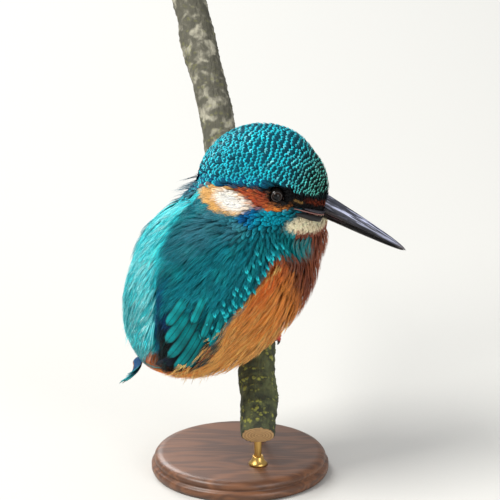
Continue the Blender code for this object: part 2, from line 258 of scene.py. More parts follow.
def tube_faces(rings: int, lanes: int, wrap: bool = False, poles: bool = False) -> Rows:
    """Triangles between rows of points that each close on themselves.

    Args:
        rings: Number of rows of points.
        lanes: Points in each row.
        wrap: Joins the last row to the first.
        poles: Closes both ends on two more points that follow the rows.

    Returns:
        Rows of three point numbers.
    """
    ring, lane = np.divmod(np.arange((rings if wrap else rings - 1) * lanes), lanes)
    after, below = (lane + 1) % lanes, (ring + 1) % rings * lanes
    a, b, c, d = ring * lanes + lane, ring * lanes + after, below + lane, below + after
    parts = [np.stack([a, b, d], -1), np.stack([a, d, c], -1)]
    if poles:
        lane = np.arange(lanes)
        after, last, tip = (lane + 1) % lanes, (rings - 1) * lanes, np.full(lanes, rings * lanes)
        parts += [np.stack([tip, after, lane], -1), np.stack([tip + 1, last + lane, last + after], -1)]
    return np.concatenate(parts)


def solid_copy(name: str, nodes: Sequence[str], swell: float, voxel: float, rounds: int) -> Piece:
    """Join CAD nodes into one even skin.

    Args:
        name: Name of the new object.
        nodes: CAD nodes that it is made from.
        swell: How far each node grows first, so that touching nodes merge, in millimetres.
        voxel: Size of the new mesh's faces in millimetres.
        rounds: Smoothing rounds.

    Returns:
        The new object, at the CAD's place.
    """
    joined = bmesh.new()
    for node in nodes:
        part = bmesh.new()
        part.from_mesh(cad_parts[node].data)
        bmesh.ops.remove_doubles(part, verts=part.verts[:], dist=1e-6)
        bmesh.ops.recalc_face_normals(part, faces=part.faces[:])
        part.normal_update()
        for vert in part.verts:
            vert.co += vert.normal * swell * MM
        scratch = bpy.data.meshes.new("scratch")
        part.to_mesh(scratch)
        joined.from_mesh(scratch)
        part.free()
        bpy.data.meshes.remove(scratch)
    rough = bpy.data.meshes.new(f"{name}_rough")
    joined.to_mesh(rough)
    joined.free()
    guide = bpy.data.objects.new(f"{name}_guide", rough)
    bpy.context.scene.collection.objects.link(guide)
    remesh = guide.modifiers.new("remesh", "REMESH")
    remesh.mode = "VOXEL"
    remesh.voxel_size = voxel * MM
    if rounds:
        smooth = guide.modifiers.new("smooth", "SMOOTH")
        smooth.factor = 0.5
        smooth.iterations = rounds
    mesh = bpy.data.meshes.new_from_object(guide.evaluated_get(bpy.context.evaluated_depsgraph_get()))
    mesh.name = name
    mesh.shade_smooth()
    bpy.data.objects.remove(guide, do_unlink=True)
    obj = bpy.data.objects.new(name, mesh)
    bpy.context.scene.collection.objects.link(obj)
    return obj


def finish_piece(obj: Piece, material: Material, slot: str, *nodes: str) -> Piece:
    """Dress a piece and tell the frame about it.

    Args:
        obj: The piece.
        material: Its finish.
        slot: The record's material slot; not used.
        nodes: CAD nodes that it stands for.

    Returns:
        The same piece.
    """
    obj.data.materials.clear()
    obj.data.materials.append(material)
    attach(obj, BODY)
    if nodes:
        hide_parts(*nodes)
    log.info("%s: %d faces", obj.name, len(obj.data.polygons))
    return obj


# ---------------------------------------------------------------- shader maths


class Value:
    """A shader socket of one number that takes part in Python arithmetic."""

    def __init__(self, bench: "Bench", socket: Socket) -> None:
        """Keep the socket and the bench that makes its Math nodes."""
        self.bench = bench
        self.socket = socket

    def math(self, operation: str, *others: "Value | float", first: "Value | float | None" = None) -> "Value":
        """Add a Math node.

        Args:
            operation: Blender's name of the operation.
            others: What follows this value.
            first: Given when this value comes second.

        Returns:
            The node's result.
        """
        terms = [self, *others] if first is None else [first, self]
        made = self.bench.node("ShaderNodeMath", {"operation": operation}, dict(enumerate(terms)))
        return Value(self.bench, made.outputs[0])

    def __add__(self, other: "Value | float") -> "Value":
        """Sum."""
        return self.math("ADD", other)

    def __mul__(self, other: "Value | float") -> "Value":
        """Product."""
        return self.math("MULTIPLY", other)

    def __sub__(self, other: "Value | float") -> "Value":
        """Difference."""
        return self.math("SUBTRACT", other)

    def __rsub__(self, other: "Value | float") -> "Value":
        """Difference with this value second."""
        return self.math("SUBTRACT", first=other)

    __radd__ = __add__
    __rmul__ = __mul__

    def sine(self) -> "Value":
        """Sine."""
        return self.math("SINE")

    def step(self, low: float, high: float) -> "Value":
        """Smooth step.

        Args:
            low: Where it is 0.
            high: Where it is 1.

        Returns:
            The stepped value.
        """
        made = self.bench.node("ShaderNodeMapRange", {"interpolation_type": "SMOOTHSTEP"},
                               {"Value": self, "From Min": low, "From Max": high})
        return Value(self.bench, made.outputs["Result"])


class Bench:
    """One material under construction."""

    def __init__(self, name: str) -> None:
        """Start a material that has a Principled shader and its output.

        Args:
            name: Name of the material.
        """
        self.material = bpy.data.materials.new(name)
        self.material.use_nodes = True
        self.tree = self.material.node_tree
        self.tree.nodes.clear()
        self.shader = self.node("ShaderNodeBsdfPrincipled")
        self.node("ShaderNodeOutputMaterial", inputs={"Surface": self.shader.outputs[0]})

    def node(self, kind: str, settings: dict | None = None, inputs: dict | None = None) -> bpy.types.Node:
        """Add a node.

        Args:
            kind: Blender's node type.
            settings: The node's own properties, set first.
            inputs: Socket names or numbers, with numbers, colours, sockets or values.

        Returns:
            The node.
        """
        made = self.tree.nodes.new(kind)
        for key, setting in (settings or {}).items():
            setattr(made, key, setting)
        for key, given in (inputs or {}).items():
            self.feed(made.inputs[key], given)
        return made

    def feed(self, socket: Socket, given: object) -> None:
        """Link a socket, or set its own number or colour.

        Args:
            socket: Where it goes.
            given: A socket, value, number or colour.
        """
        if isinstance(given, Value):
            given = given.socket
        if isinstance(given, Socket):
            self.tree.links.new(given, socket)
        elif isinstance(given, tuple) and socket.type == "RGBA":
            socket.default_value = (*given[:3], 1.0)
        else:
            socket.default_value = given

    def place(self) -> Socket:
        """Object coordinates in metres."""
        return self.node("ShaderNodeTexCoord").outputs["Object"]

    def vane(self) -> Socket:
        """Coordinates along and across each feather or the bill."""
        return self.node("ShaderNodeUVMap", {"uv_map": "vane"}).outputs[0]

    def stretched(self, where: Socket, scale: tuple[float, float, float]) -> Socket:
        """Coordinates multiplied along each axis."""
        return self.node("ShaderNodeMapping", None, {"Vector": where, "Scale": scale}).outputs[0]

    def noise(self, where: Socket, scale: float, detail: float = 3.0, twist: float = 0.0) -> Value:
        """Noise from 0 to 1.

        Args:
            where: Coordinates.
            scale: Swells for each unit.
            detail: How many finer layers.
            twist: Distortion.

        Returns:
            The noise.
        """
        made = self.node("ShaderNodeTexNoise", None,
                         {"Vector": where, "Scale": scale, "Detail": detail, "Distortion": twist})
        return Value(self, made.outputs[0])

    def cells(self, where: Socket, scale: float, feature: str = "F1") -> Value:
        """Distance in a pattern of cells."""
        made = self.node("ShaderNodeTexVoronoi", {"feature": feature}, {"Vector": where, "Scale": scale})
        return Value(self, made.outputs["Distance"])

    def axis(self, where: Socket, letter: str) -> Value:
        """One coordinate of a place."""
        return Value(self, self.node("ShaderNodeSeparateXYZ", None, {0: where}).outputs[letter])

    def tint(self) -> Socket:
        """The colour that each mesh point carries."""
        return self.node("ShaderNodeAttribute", {"attribute_name": "tint"}).outputs["Color"]

    def blend(self, first: object, second: object, factor: "Value | float") -> object:
        """Mix two colours.

        Args:
            first: Colour or socket.
            second: Colour or socket.
            factor: Share of the second.

        Returns:
            The mixed colour's socket.
        """
        made = self.node("ShaderNodeMix", {"data_type": "RGBA"}, {0: factor, 6: first, 7: second})
        return made.outputs[2]

    def shade(self, colour: object, amount: Value) -> object:
        """Multiply a colour by a number that varies."""
        scaled = self.node("ShaderNodeVectorMath", {"operation": "SCALE"}, {0: colour, "Scale": amount})
        return scaled.outputs[0]

    def finish(self, colour: object, roughness: "Value | float", height: Value, depth: float,
               **fixed: object) -> Material:
        """Wire the shader.

        Args:
            colour: Base colour.
            roughness: Number or value.
            height: What the bump reads, 0 to 1.
            depth: Height of the bump in metres.
            fixed: Constants for the shader's own sockets, with _ for a space.

        Returns:
            The material.
        """
        bump = self.node("ShaderNodeBump", None, {"Height": height, "Distance": depth, "Strength": 1.0})
        self.feed(self.shader.inputs["Base Color"], colour)
        self.feed(self.shader.inputs["Roughness"], roughness)
        self.feed(self.shader.inputs["Normal"], bump.outputs[0])
        for key, number in fixed.items():
            self.feed(self.shader.inputs[key.replace("_", " ")], number)
        return self.material


# ---------------------------------------------------------------- finishes


@dataclass(frozen=True)
class Plumage:
    """Feathers that carry their pigment in each mesh point, with fine barbs along the vane."""

    name: str
    roughness: float = 0.5
    sheen: float = 0.25
    glint: float = 0.35
    barbs: float = 12.0
    relief: float = 0.00006

    def make(self) -> Material:
        """Build the finish.

        Returns:
            The material.
        """
        bench = Bench(self.name)
        vane = bench.vane()
        streak = bench.noise(bench.stretched(vane, (self.barbs, 3.0, 1.0)), 1.0, 2.0)
        patch = bench.noise(bench.place(), 230.0, 2.0)
        colour = bench.shade(bench.tint(), 0.62 + streak * 0.5 + patch * 0.26)
        rough = self.roughness - 0.12 + streak * 0.16 + patch * 0.1
        return bench.finish(colour, rough, streak, self.relief, Sheen_Weight=self.sheen, Sheen_Roughness=0.4,
                            Specular_IOR_Level=self.glint)


@dataclass(frozen=True)
class Quill:
    """Smooth vane with fine barbs slanting from the shaft."""

    name: str

    def make(self) -> Material:
        """Build the finish.

        Returns:
            The material.
        """
        bench = Bench(self.name)
        vane = bench.vane()
        along = bench.axis(vane, "Y")
        across = (bench.axis(vane, "X") + 0.5).math("FRACT") - 0.5
        away = across.math("ABSOLUTE")
        slant = bench.noise(bench.stretched(vane, (9.0, 26.0, 1.0)), 1.0, 2.0)
        barbs = ((along - away * 0.5 + slant * 0.02) * 230.0).sine() * 0.5 + 0.5
        shaft = away.step(0.035, 0.015)
        web = 0.55 + slant * 0.6 + barbs * 0.22 - shaft * 0.5
        colour = bench.shade(bench.tint(), web)
        return bench.finish(colour, 0.5 + slant * 0.16, barbs + slant + shaft * 2.0, 0.00007,
                            Sheen_Weight=0.02, Specular_IOR_Level=0.12)


@dataclass(frozen=True)
class SkinDown:
    """Down under the feathers, in the same markings."""

    name: str

    def make(self) -> Material:
        """Build the finish.

        Returns:
            The material.
        """
        bench = Bench(self.name)
        where = bench.place()
        fluff = bench.noise(where, 1400.0, 4.0)
        patch = bench.noise(where, 260.0, 2.0)
        colour = bench.shade(bench.tint(), 0.3 + fluff * 0.5 + patch * 0.2)
        return bench.finish(colour, 0.72 + fluff * 0.2, fluff, 0.0004, Specular_IOR_Level=0.2)


@dataclass(frozen=True)
class Horn:
    """Bill and claw horn: fine lengthwise scratches over a clouded base."""

    name: str
    roughness: float = 0.28
    colour: Colour | None = None
    pale: Colour = tone(92, 88, 92)

    def make(self) -> Material:
        """Build the finish.

        Returns:
            The material.
        """
        bench = Bench(self.name)
        where = bench.place()
        scratch = bench.noise(bench.stretched(where, (160.0, 900.0, 900.0)), 2.6, 4.0)
        cloud = bench.noise(where, 420.0, 3.0)
        base = bench.tint() if self.colour is None else self.colour
        mixed = bench.blend(base, self.pale, scratch.step(0.56, 0.8) * 0.32)
        colour = bench.shade(mixed, 0.66 + cloud * 0.68)
        rough = self.roughness - 0.1 + scratch * 0.22 + cloud * 0.08
        return bench.finish(colour, rough, scratch + cloud * 0.4, 0.00008, Specular_IOR_Level=0.5)


@dataclass(frozen=True)
class BillHorn:
    """Bill horn with fine lines that run out to the tip, raised in relief and painted bright as highlight
    streaks.
    """

    name: str
    lines: float = 19.0
    glint: float = 0.5

    def make(self) -> Material:
        """Build the finish.

        Returns:
            The material.
        """
        bench = Bench(self.name)
        vane = bench.vane()
        fine = bench.noise(bench.stretched(vane, (self.lines, 1.3, 1.0)), 1.0, 3.0)
        broad = bench.noise(bench.stretched(vane, (self.lines * 0.4, 1.0, 1.0)), 1.0, 1.0)
        cloud = bench.noise(bench.place(), 300.0, 2.0)
        line = fine.step(0.5, 0.56)
        # Painted highlight: the fine lines are brightened into gloss streaks, most where the broad noise is
        # high.
        level = 0.05 + broad.step(0.3, 0.7) * 0.1 + line * (0.35 + broad * 1.4) + cloud * 0.08
        colour = bench.shade(bench.tint(), level)
        rough = 0.16 + broad * 0.14 + cloud * 0.08
        return bench.finish(colour, rough, line + broad, 0.00016, Specular_IOR_Level=self.glint)


@dataclass(frozen=True)
class EyeGloss:
    """Dark brown iris, black pupil and a wet clear front."""

    name: str

    def make(self) -> Material:
        """Build the finish.

        Returns:
            The material.
        """
        bench = Bench(self.name)
        where = bench.place()
        fleck = bench.noise(where, 2600.0, 3.0)
        wet = bench.noise(where, 700.0, 1.0)
        colour = bench.shade(bench.tint(), 0.6 + fleck * 0.8)
        return bench.finish(colour, 0.08 + wet * 0.05, wet, 0.000004, Specular_IOR_Level=0.2,
                            Coat_Weight=0.12, Coat_Roughness=0.02)


@dataclass(frozen=True)
class FootSkin:
    """Small plates of coral-red foot skin, with painted shade in the creases between them."""

    name: str

    def make(self) -> Material:
        """Build the finish.

        Returns:
            The material.
        """
        bench = Bench(self.name)
        where = bench.place()
        plates = bench.cells(where, 1500.0, "DISTANCE_TO_EDGE")
        crease = 1.0 - plates.step(0.02, 0.16)
        cloud = bench.noise(where, 500.0, 3.0)
        base = bench.blend(tone(232, 62, 30), tone(190, 30, 18), cloud)
        # Painted shade: the creases between the plates are darkened.
        colour = bench.blend(base, tone(70, 10, 8), crease * 0.7)
        return bench.finish(colour, 0.36 + crease * 0.25 + cloud * 0.1, 1.0 - crease, 0.00012,
                            Subsurface_Weight=0.08, Subsurface_Radius=(0.001, 0.0004, 0.0003))


@dataclass(frozen=True)
class Bark:
    """Olive-grey bark, lichen flecks low down, paler grey patches higher up, year rings on the sawn ends."""

    name: str
    low: float
    high: float

    def make(self) -> Material:
        """Build the finish.

        Returns:
            The material.
        """
        bench = Bench(self.name)
        where = bench.place()
        grain = bench.noise(bench.stretched(where, (900.0, 260.0, 260.0)), 1.0, 5.0, 0.6)
        lump = bench.noise(where, 190.0, 4.0, 0.4)
        rings = bench.noise(bench.stretched(where, (60.0, 330.0, 330.0)), 1.0, 3.0, 0.3)
        fleck = bench.cells(where, 520.0)
        up = bench.axis(where, "Z").step(self.low, self.high)
        olive = bench.blend(tone(50, 54, 40), tone(92, 98, 62), lump.step(0.35, 0.7))
        grey = bench.blend(tone(86, 84, 72), tone(168, 164, 146), lump.step(0.46, 0.7))
        ground = bench.blend(olive, grey, up)
        growth = rings.step(0.5, 0.62) * (1.0 - fleck.step(0.3, 0.55)) * (1.0 - up * 0.8)
        lichen = bench.blend(ground, tone(158, 160, 74), growth * 0.85)
        barked = bench.shade(lichen, 0.45 + grain * 0.9)
        sawn, out = bench.axis(bench.tint(), "X").step(0.35, 0.6), bench.axis(bench.tint(), "Y")
        years = ((out * 9.0 + lump * 0.5) * 6.0).sine() * 0.5 + 0.5
        wood = bench.blend(tone(196, 160, 112), tone(164, 126, 82), years)
        wood = bench.shade(wood, 0.5 + grain * 0.6 + lump * 0.25)
        colour = bench.blend(barked, wood, sawn)
        height = (grain + growth * 0.4) * (1.0 - sawn * 0.8) + years * sawn * 0.15
        return bench.finish(colour, 0.78 + grain * 0.2 - lump * 0.1, height, 0.0007)


@dataclass(frozen=True)
class TurnedWood:
    """Dark oiled wood with straight grain and soft rings."""

    name: str

    def make(self) -> Material:
        """Build the finish.

        Returns:
            The material.
        """
        bench = Bench(self.name)
        where = bench.place()
        fibre = bench.noise(bench.stretched(where, (90.0, 1700.0, 900.0)), 1.0, 4.0)
        sway = bench.noise(bench.stretched(where, (20.0, 110.0, 110.0)), 1.0, 2.0, 0.5)
        band = (sway * 34.0).sine() * 0.5 + 0.5
        base = bench.blend(tone(70, 42, 26), tone(122, 78, 48), band * 0.6 + fibre * 0.4)
        colour = bench.blend(base, tone(34, 20, 13), fibre.step(0.6, 0.8) * 0.6)
        return bench.finish(colour, 0.34 + fibre * 0.2, fibre + band * 0.3, 0.00008, Coat_Weight=0.15,
                            Coat_Roughness=0.25)


@dataclass(frozen=True)
class Brass:
    """Drawn brass rod with fine length marks and slight dulling."""

    name: str

    def make(self) -> Material:
        """Build the finish.

        Returns:
            The material.
        """
        bench = Bench(self.name)
        where = bench.place()
        drawn = bench.noise(bench.stretched(where, (3000.0, 3000.0, 60.0)), 1.0, 3.0)
        dull = bench.noise(where, 120.0, 4.0)
        colour = bench.blend(tone(206, 168, 96), tone(132, 98, 52), dull.step(0.48, 0.75))
        return bench.finish(colour, 0.2 + drawn * 0.16 + dull * 0.14, drawn, 0.00003, Metallic=1.0)


@dataclass(frozen=True)
class PalePaper:
    """Plain pale floor."""

    name: str

    def make(self) -> Material:
        """Build the finish.

        Returns:
            The material.
        """
        bench = Bench(self.name)
        tooth = bench.noise(bench.place(), 900.0, 3.0)
        colour = bench.shade((0.62, 0.62, 0.6), 0.98 + tooth * 0.04)
        return bench.finish(colour, 0.85 + tooth * 0.1, tooth, 0.00004)


# ---------------------------------------------------------------- the bird's own directions


@dataclass(frozen=True)
class Axes:
    """A place with three directions: forward or along, left, and up or dorsal."""

    origin: Rows
    turn: Rows

    def into(self, points: Rows) -> Rows:
        """World rows in metres as local rows in millimetres."""
        return (points - self.origin) @ self.turn.T / MM

    def out(self, local: Rows | Sequence[float]) -> Rows:
        """Local rows in millimetres as world rows in metres."""
        return self.origin + np.asarray(local, float) * MM @ self.turn

    def heading(self, local: Rows | Sequence[float]) -> Rows:
        """Local directions as world directions."""
        return np.asarray(local, float) @ self.turn


def box_middle(node: str) -> Rows:
    """Middle of a CAD node's box, in metres."""
    low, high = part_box(node)
    return (np.array(low) + np.array(high)) / 2


@dataclass
class Anatomy:
    """Where the head and trunk lie, worked out from the CAD's eyes and bill."""

    eye_forward: float = 5.3
    eye_up: float = 7.0
    bill_drop: float = math.atan2(3.0, 56.2)
    trunk_from_head: tuple[float, float, float] = (-15.6, -6.0, -31.9)
    trunk_yaw: float = 20.0
    trunk_pitch: float = 47.0
    trunk_half_width: float = 30.5
    trunk_back: float = 35.0
    head_radii: tuple[float, float, float] = (27.0, 20.5, 26.0)
    bill_base: tuple[float, float, float] = (25.0, 0.0, 4.0)
    shoulder: tuple[float, float] = (33.0, 62.0)
    head: Axes = field(init=False)
    trunk: Axes = field(init=False)

    def __post_init__(self) -> None:
        """Find both sets of axes."""
        left_eye, right_eye = box_middle("eye_left"), box_middle("eye_right")
        between = (left_eye + right_eye) / 2
        left = unit(left_eye - right_eye)
        low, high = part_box("bill_upper")
        to_tip = np.array([high.x, low.y, low.z]) - between
        to_tip = unit(to_tip - left * np.dot(to_tip, left))
        over = np.cross(to_tip, left)
        forward = to_tip * math.cos(self.bill_drop) + over * math.sin(self.bill_drop)
        up = np.cross(forward, left)
        centre = between - (forward * self.eye_forward + up * self.eye_up) * MM
        self.head = Axes(centre, np.array([forward, left, up]))
        yaw, pitch = math.radians(self.trunk_yaw), math.radians(self.trunk_pitch)
        turn = Matrix.Rotation(yaw, 3, "Z") @ Matrix.Rotation(-pitch, 3, "Y")
        self.trunk = Axes(centre + np.array(self.trunk_from_head) * MM, np.array(turn.transposed()))

    def around(self, along: Sizes, degrees: Sizes, reach: float = 1.0) -> Rows:
        """Points beside the trunk's axis.

        Args:
            along: Distance along the axis in millimetres.
            degrees: Angle from the back's middle line; below 0 is the right side.
            reach: 1 for the nominal surface.

        Returns:
            Local rows in the trunk frame.
        """
        along, degrees = np.broadcast_arrays(np.asarray(along, float), np.asarray(degrees, float))
        turn = np.radians(degrees)
        return np.stack([along, self.trunk_half_width * reach * np.sin(turn),
                         self.trunk_back * reach * np.cos(turn)], -1)

    def angles(self, points: Rows) -> tuple[Rows, Rows]:
        """Distance along the trunk and signed angle from the back's middle line.

        Args:
            points: World rows.

        Returns:
            Millimetres along and degrees, positive to the left.
        """
        local = self.trunk.into(points)
        turn = np.arctan2(local[:, 1] / self.trunk_half_width, local[:, 2] / self.trunk_back)
        return local[:, 0], np.degrees(turn)

    def reach(self, local: Rows) -> Rows:
        """Distance from the head's centre as a share of the head's own surface."""
        return np.linalg.norm(local / np.array(self.head_radii), axis=1)

    def headness(self, points: Rows) -> Rows:
        """Tell head from body.

        Args:
            points: World rows.

        Returns:
            1 on the head, 0 on the body, soft between.
        """
        local = self.head.into(points)
        above = ease(local[:, 2] + 0.35 * local[:, 0], -14.0, -8.0)
        return ease(self.reach(local), 1.32, 1.12) * above


class Pigment(Enum):
    """Feather colours of the common kingfisher, in linear light; the grey-blue also serves as painted sheen
    and the pale azure partly as painted highlight.
    """

    AZURE = tone(60, 244, 255)
    # Pale azure of single strands; in the back's markings it is partly painted highlight.
    AZURE_LIGHT = tone(186, 250, 250)
    AZURE_DEEP = tone(0, 148, 176)
    BACK_SHADE = tone(0, 76, 128)
    TEAL = tone(0, 126, 142)
    TEAL_LIGHT = tone(14, 160, 164)
    TEAL_DARK = tone(0, 66, 76)
    CYAN_SPOT = tone(40, 206, 214)
    # Grey-blue of the nape wisps; on the mantle and scapulars it is painted sheen.
    GREY_BLUE_AND_SHEEN = tone(84, 122, 140)
    CROWN_BACK = tone(0, 82, 102)
    CROWN_FRONT = tone(2, 38, 36)
    SPOT_BACK = tone(40, 212, 232)
    SPOT_FRONT = tone(112, 222, 200)
    ORANGE = tone(250, 154, 66)
    ORANGE_HOT = tone(244, 112, 36)
    ORANGE_GOLD = tone(255, 200, 116)
    BREAST = tone(158, 84, 60)
    BREAST_DARK = tone(84, 44, 36)
    BELLY = tone(226, 144, 74)
    WHITE = tone(255, 252, 244)
    BUFF = tone(238, 182, 104)
    THROAT = tone(255, 241, 204)
    EAR = tone(168, 66, 30)
    LORE = tone(10, 10, 12)
    BLACK_BLUE = tone(4, 18, 26)
    MALAR = tone(0, 156, 180)
    MALAR_DEEP = tone(0, 92, 150)
    FLIGHT = tone(0, 126, 130)
    FLIGHT_EDGE = tone(6, 16, 18)

    @property
    def rgb(self) -> Rows:
        """The colour as an array."""
        return np.array(self.value)


Hue = Rows | Colour | Pigment


@dataclass
class Markings:
    """The bird's pattern as a function of place; both sides mirror."""

    anatomy: Anatomy
    cap_border: tuple = ((-30.0, -9.0), (-23.4, -6.7), (-17.8, -2.4), (-10.8, 3.0), (-4.4, 6.2), (-0.6, 7.4),
                         (3.3, 9.8), (6.9, 11.6), (11.0, 10.8), (16.0, 9.6), (19.3, 9.0), (22.1, 9.6),
                         (24.1, 10.8), (28.0, 12.0))
    face_floor: tuple = ((-12.0, -3.0), (-2.5, -1.4), (3.6, 1.3), (10.4, 3.6), (26.0, 2.8))
    azure_edge: tuple = ((-46.0, 72.0), (-41.7, 68.0), (-35.0, 49.0), (-28.5, 42.0), (-20.0, 33.0),
                         (-12.8, 23.0), (-7.0, 15.0), (5.5, 8.0), (15.8, 5.0), (30.0, 3.0))
    wing_edge: tuple = ((-60.0, 84.0), (-44.0, 96.0), (-39.0, 113.0), (-32.0, 103.0), (-26.0, 93.0),
                        (-18.0, 89.0), (-4.0, 90.0), (11.0, 89.0), (17.0, 92.0), (18.8, 99.0), (20.6, 112.0),
                        (23.0, 122.0), (25.1, 127.0), (26.5, 114.0), (27.2, 105.0), (28.6, 94.0),
                        (31.0, 88.0), (44.0, 86.0))

    def masks(self, points: Rows) -> dict[str, Rows]:
        """How far each point belongs to each head marking.

        Args:
            points: World rows.

        Returns:
            Masks of 0 to 1 by name.
        """
        local = self.anatomy.head.into(points)
        f, r, u = local[:, 0], np.abs(local[:, 1]), local[:, 2]
        reach = self.anatomy.reach(local)
        inner, shelf, side = ease(reach, 1.34, 1.16), ease(reach, 1.95, 1.75), ease(r, 8.0, 11.0)
        floor = np.interp(f, *np.array(self.face_floor).T)
        cap = np.interp(f, *np.array(self.cap_border).T)
        nape = ease(f, -14.0, -20.0) * ease(r, 15.0, 11.0)
        lower_rim = ease(u + 1.9 + 0.2 * r, -0.8, 0.8)
        return {
            "f": f, "r": r, "u": u, "cap_edge": cap, "inner": inner,
            "cap": np.maximum(ease(u - cap, -0.4, 0.4), nape) * inner,
            "face": inner * ease(u - floor, -0.5, 0.5),
            "ear": oval(f, u, (0.0, 2.8), (11.8, 3.9), 12.0, 0.12) * side * inner,
            "malar": oval(f, u, (6.8, -1.5), (12.3, 3.7), 22.0, 0.12) * ease(r, 9.0, 12.0) * shelf,
            "throat": oval(f, u, (22.2, -1.7), (8.4, 4.0), 12.0, 0.2) * lower_rim * shelf,
            "patch": oval(f, u, (-13.8, -4.3), (11.1, 4.4), 12.0, 0.12) * side * shelf,
            "core": oval(f, u, (-9.9, -3.2), (7.2, 3.0), 12.0, 0.35) * side * shelf,
        }

    def head(self, points: Rows, rows: Rows) -> Rows:
        """Lay the head's markings over the body's colours.

        Args:
            points: World rows.
            rows: Colours so far.

        Returns:
            Linear colour rows.
        """
        on = self.masks(points)
        f, r, u = on["f"], on["r"], on["u"]
        dark = mix(Pigment.BLACK_BLUE, Pigment.LORE, ease(f, 4.0, 9.0))
        rows = mix(rows, dark, on["face"])
        hue = mix(Pigment.MALAR, Pigment.MALAR_DEEP, ease(f, 5.0, -2.0))
        hue = mix(hue, Pigment.TEAL_DARK, ease(f, 9.0, 15.0) * 0.6)
        rows = mix(rows, hue, on["malar"])
        ear = mix(Pigment.EAR, Pigment.ORANGE, ease(f, 1.0, 8.0) * 0.75)
        rows = mix(rows, ear, on["ear"])
        rows = mix(rows, Pigment.THROAT, on["throat"])
        rows = mix(rows, Pigment.BUFF, on["throat"] * ease(u + 0.25 * r, 0.2, -3.0) * 0.35)
        rows = mix(rows, Pigment.BUFF, on["patch"])
        rows = mix(rows, Pigment.WHITE, on["core"])
        crown = mix(Pigment.CROWN_BACK, Pigment.CROWN_FRONT, ease(f, -4.0, 16.0))
        over = u - on["cap_edge"]
        crown = mix(crown, Pigment.MALAR_DEEP, ease(over, 6.0, 2.0) * ease(f, 1.0, -5.0) * 0.42)
        crown = mix(crown, Pigment.BLACK_BLUE, ease(over, 2.2, 0.4) * 0.75 * ease(f, -16.0, -6.0))
        rows = mix(rows, crown, on["cap"])
        round_eye = oval(f, u, (self.anatomy.eye_forward + 0.6, self.anatomy.eye_up - 0.3), (5.6, 4.2))
        rows = mix(rows, Pigment.LORE, round_eye * ease(r, 8.0, 11.0) * on["inner"])
        rows = mix(rows, Pigment.EAR.rgb * 0.35, oval(f, u, (20.4, 8.2), (4.4, 1.1), -4.0, 0.3) * on["inner"])
        return mix(rows, Pigment.BUFF.rgb * 0.5, oval(f, u, (14.4, 7.2), (2.2, 0.6), -8.0, 0.3) * on["inner"])

    def wing_limit(self, along: Rows) -> Rows:
        """Angle at which the blue-green ends and the orange starts."""
        return np.interp(along, *np.array(self.wing_edge).T)

    def azure_limit(self, along: Rows, turn: Rows | None = None) -> Rows:
        """Angle at which the azure back ends; below the nape it lies over to the left."""
        limit = np.interp(along, *np.array(self.azure_edge).T)
        return limit if turn is None else limit + 26.0 * ease(along, -14.0, 6.0) * (turn > 0)

    def quill_zone(self, along: Rows, turn: Rows) -> Rows:
        """Where the flight feathers show bare, below the coverts.

        Args:
            along: Millimetres along the trunk.
            turn: Degrees from the back's middle line.

        Returns:
            1 there and 0 elsewhere.
        """
        start = np.interp(turn, (50.0, 60.0, 72.0, 84.0, 96.0), (-30.0, -24.0, -22.0, -23.0, -27.0))
        return (ease(along - start, 1.0, -1.0) * ease(turn - self.azure_limit(along), 2.0, 7.0)
                * ease(turn - self.wing_limit(along), 3.0, 0.0))

    def body(self, points: Rows) -> Rows:
        """Colours as on the trunk and wings, with painted sheen over the mantle and partly painted highlight
        on the azure back.

        Args:
            points: World rows.

        Returns:
            Linear colour rows.
        """
        along, turn = self.anatomy.angles(points)
        azure_end = self.azure_limit(along, turn)
        turn = np.abs(turn)
        grain = ripple(points, 3.4)
        low = self.wing_limit(along) + 1.2 * ripple(points, 2.2, 1.3)
        rows = mix(Pigment.ORANGE, Pigment.BELLY, ease(turn, 128.0, 150.0))
        rows = mix(rows, Pigment.ORANGE_GOLD, ease(along + 12.0 * grain, -6.0, -30.0) * 0.55)
        rows = mix(rows, Pigment.ORANGE_HOT, ease(turn - low, 22.0, 6.0) * ease(along, -14.0, 6.0) * 0.85)
        brown = ease(along + 0.2 * (turn - 120.0) + 3.0 * grain, 4.0, 15.0)
        rows = mix(rows, Pigment.BREAST, brown)
        rows = mix(rows, Pigment.BREAST_DARK, brown * ease(grain, -0.1, 0.7) * 0.5)
        rows = mix(rows, Pigment.ORANGE_HOT, ease(along, -38.0, -43.0) * ease(turn, 60.0, 72.0) * 0.8)
        teal = mix(Pigment.TEAL, Pigment.TEAL_LIGHT, ease(ripple(points, 5.0, 2.0), 0.0, 0.8) * 0.5)
        teal = mix(teal, Pigment.TEAL_DARK, ease(ripple(points, 4.0, 4.0), 0.05, 0.8) * 0.4)
